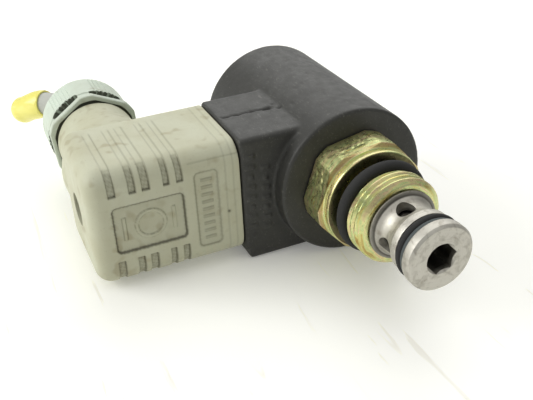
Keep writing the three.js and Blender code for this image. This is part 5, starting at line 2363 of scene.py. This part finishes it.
@dataclass(frozen=True)
class KeptParts:
    """The CAD's own solids that stay as they are, each with its finish."""

    finishes: tuple[tuple[Finish, tuple[str, ...]], ...] = (
        (BOBBIN_PLASTIC, ("coil_bobbin",)),
        (COPPER_WIRE, ("coil_winding",)),
        (MAGNET_STEEL, ("flux_sleeve", "armature")),
        (WASHER_STEEL, ("front_flux_washer", "gland_washer")),
        (TINNED_BRASS, ("contact_blade_1", "contact_blade_2", "earth_blade")),
        (BRASS, ("screw_insert", "terminal_1", "terminal_2", "earth_terminal")),
        (TUBE_STEEL, ("armature_tube",)),
        (POPPET_STEEL, ("pilot_pin", "poppet")),
        (CARRIER_PLASTIC, ("contact_carrier",)),
        (SCREW_STEEL, ("clamp_screw_1", "clamp_screw_2", "clamp_screw_3")),
        (GASKET_RUBBER, ("connector_gasket", "screw_seal_washer", "gland_grommet")),
        (CORE_BROWN, ("lead_core_1",)),
        (CORE_BLUE, ("lead_core_2",)),
        (CORE_EARTH, ("lead_core_3",)),
    )

    def build(self, shop: Workshop, nodes: dict[str, bpy.types.Object]) -> None:
        """Dresses each kept solid.

        Args:
            shop: The workshop.
            nodes: The CAD's objects by name.
        """
        for finish, names in self.finishes:
            for name in names:
                shop.dress(nodes[name], finish)


# ---- studio


@dataclass(frozen=True)
class SoftLight:
    """A soft box that looks at the valve."""

    name: str
    place: Point3
    size: float
    power: float
    colour: Colour = (1, 1, 1)

    def build(self, target: Vector) -> None:
        """Adds the light, aimed at the target.

        Args:
            target: Where it is aimed.
        """
        data = bpy.data.lights.new(self.name, "AREA")
        data.shape = "SQUARE"
        data.size = self.size
        data.energy = self.power
        data.color = self.colour
        lamp = placed(self.name, data)
        lamp.location = Vector(self.place)
        lamp.rotation_mode = "QUATERNION"
        lamp.rotation_quaternion = (target - lamp.location).to_track_quat("-Z", "Y")


@dataclass
class Studio:
    """The pale table, the soft lights and the camera."""

    lens: float = 52.41
    sensor: float = 36.0
    camera_place: Point3 = (133.70, -77.04, 86.96)
    camera_ahead: Point3 = (-0.79437, 0.33021, -0.50984)
    camera_right: Point3 = (0.40681, 0.91251, -0.04283)
    floor_half: float = 1.2
    table_glow: float = 0.17
    sky_low: float = 0.24
    sky_high: float = 0.62
    aim: Point3 = (0, 0, 0.015)
    lights: tuple[SoftLight, ...] = (
        SoftLight("overhead", (0.02, 0.05, 0.62), 0.9, 0.9, (1.0, 0.99, 0.97)),
        SoftLight("back", (-0.46, 0.26, 0.46), 0.8, 2.3, (1.0, 1.0, 0.99)),
        SoftLight("left_side", (-0.20, -0.66, 0.34), 0.5, 3.9, (1.0, 1.0, 0.99)),
    )

    def build(self, frame: ValveFrame) -> None:
        """Builds the studio round the valve.

        Args:
            frame: The valve's frame.
        """
        self._camera(frame)
        self._floor(frame)
        self._surround()
        for light in self.lights:
            light.build(Vector(self.aim))

    def _camera(self, frame: ValveFrame) -> None:
        """The camera, from its place and directions in the valve's frame.

        Args:
            frame: The valve's frame.
        """
        data = bpy.data.cameras.new("camera")
        data.lens = self.lens
        data.sensor_width = self.sensor
        data.clip_start = 0.005
        camera = placed("camera", data)
        ahead = frame.direction(self.camera_ahead).normalized()
        right = frame.direction(self.camera_right)
        right = (right - ahead * right.dot(ahead)).normalized()
        up = right.cross(ahead)
        turn = Matrix((right, up, -ahead)).transposed().to_4x4()
        camera.matrix_world = Matrix.Translation(frame.place(self.camera_place)) @ turn
        bpy.context.scene.camera = camera

    def _floor(self, frame: ValveFrame) -> None:
        """A plain pale table top with a few faint marks.

        Args:
            frame: The valve's frame.
        """
        half = self.floor_half
        mesh = bpy.data.meshes.new("table_top")
        square = [(-half, -half, 0), (half, -half, 0), (half, half, 0), (-half, half, 0)]
        mesh.from_pydata(square, [], [(0, 1, 2, 3)])
        sheet = NodeSheet("table_finish", frame)
        lines = sheet.noise(sheet.place((0.03, 0.35, 1)), 0.5, 6, 2.5)
        marks = sheet.range(lines, 0.64, 0.7, 0, 0.3)
        sheet.set("Base Color", sheet.mix(marks, srgb(243, 243, 238), srgb(176, 168, 140)))
        sheet.set("Roughness", 0.35)
        sheet.set("Specular IOR Level", 0.3)
        sheet.set("Emission Color", (1.0, 1.0, 0.97))
        sheet.set("Emission Strength", self.table_glow)
        mesh.materials.append(sheet.material)
        placed("table_top", mesh)

    def _surround(self) -> None:
        """A pale surround, brighter above, and colours shown as they are."""
        world = bpy.data.worlds.new("surround")
        world.use_nodes = True
        tree = world.node_tree
        background = tree.nodes["Background"]
        background.inputs["Color"].default_value = (1, 1, 0.98, 1)
        direction = tree.nodes.new("ShaderNodeTexCoord").outputs["Generated"]
        parts = tree.nodes.new("ShaderNodeSeparateXYZ")
        tree.links.new(direction, parts.inputs[0])
        strength = tree.nodes.new("ShaderNodeMapRange")
        strength.inputs["From Min"].default_value = 0.0
        strength.inputs["From Max"].default_value = 0.9
        strength.inputs["To Min"].default_value = self.sky_low
        strength.inputs["To Max"].default_value = self.sky_high
        tree.links.new(parts.outputs["Z"], strength.inputs["Value"])
        tree.links.new(strength.outputs["Result"], background.inputs["Strength"])
        bpy.context.scene.world = world
        bpy.context.scene.view_settings.view_transform = "Standard"


def corners(box_of: tuple[Vector, Vector]) -> list[list[float]]:
    """A box's two corners as plain lists."""
    return [[float(value) for value in corner] for corner in box_of]


def main() -> None:
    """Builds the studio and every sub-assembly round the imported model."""
    logging.basicConfig(level=logging.INFO, format="%(name)s: %(message)s")
    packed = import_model()
    frame = ValveFrame.from_joints(packed["joints"])
    Studio().build(frame)
    shop = Workshop(frame)
    for part in (Coil(), HexagonBody(), Nose(), RearEnd(), Plug(), GlandNut(), Lead()):
        part.build(shop)
        LOG.info("%s done", type(part).__name__)
    Springs().build(shop, packed["joints"], packed["nodes"])
    KeptParts().build(shop, packed["nodes"])


if __name__ == "__main__":
    main()
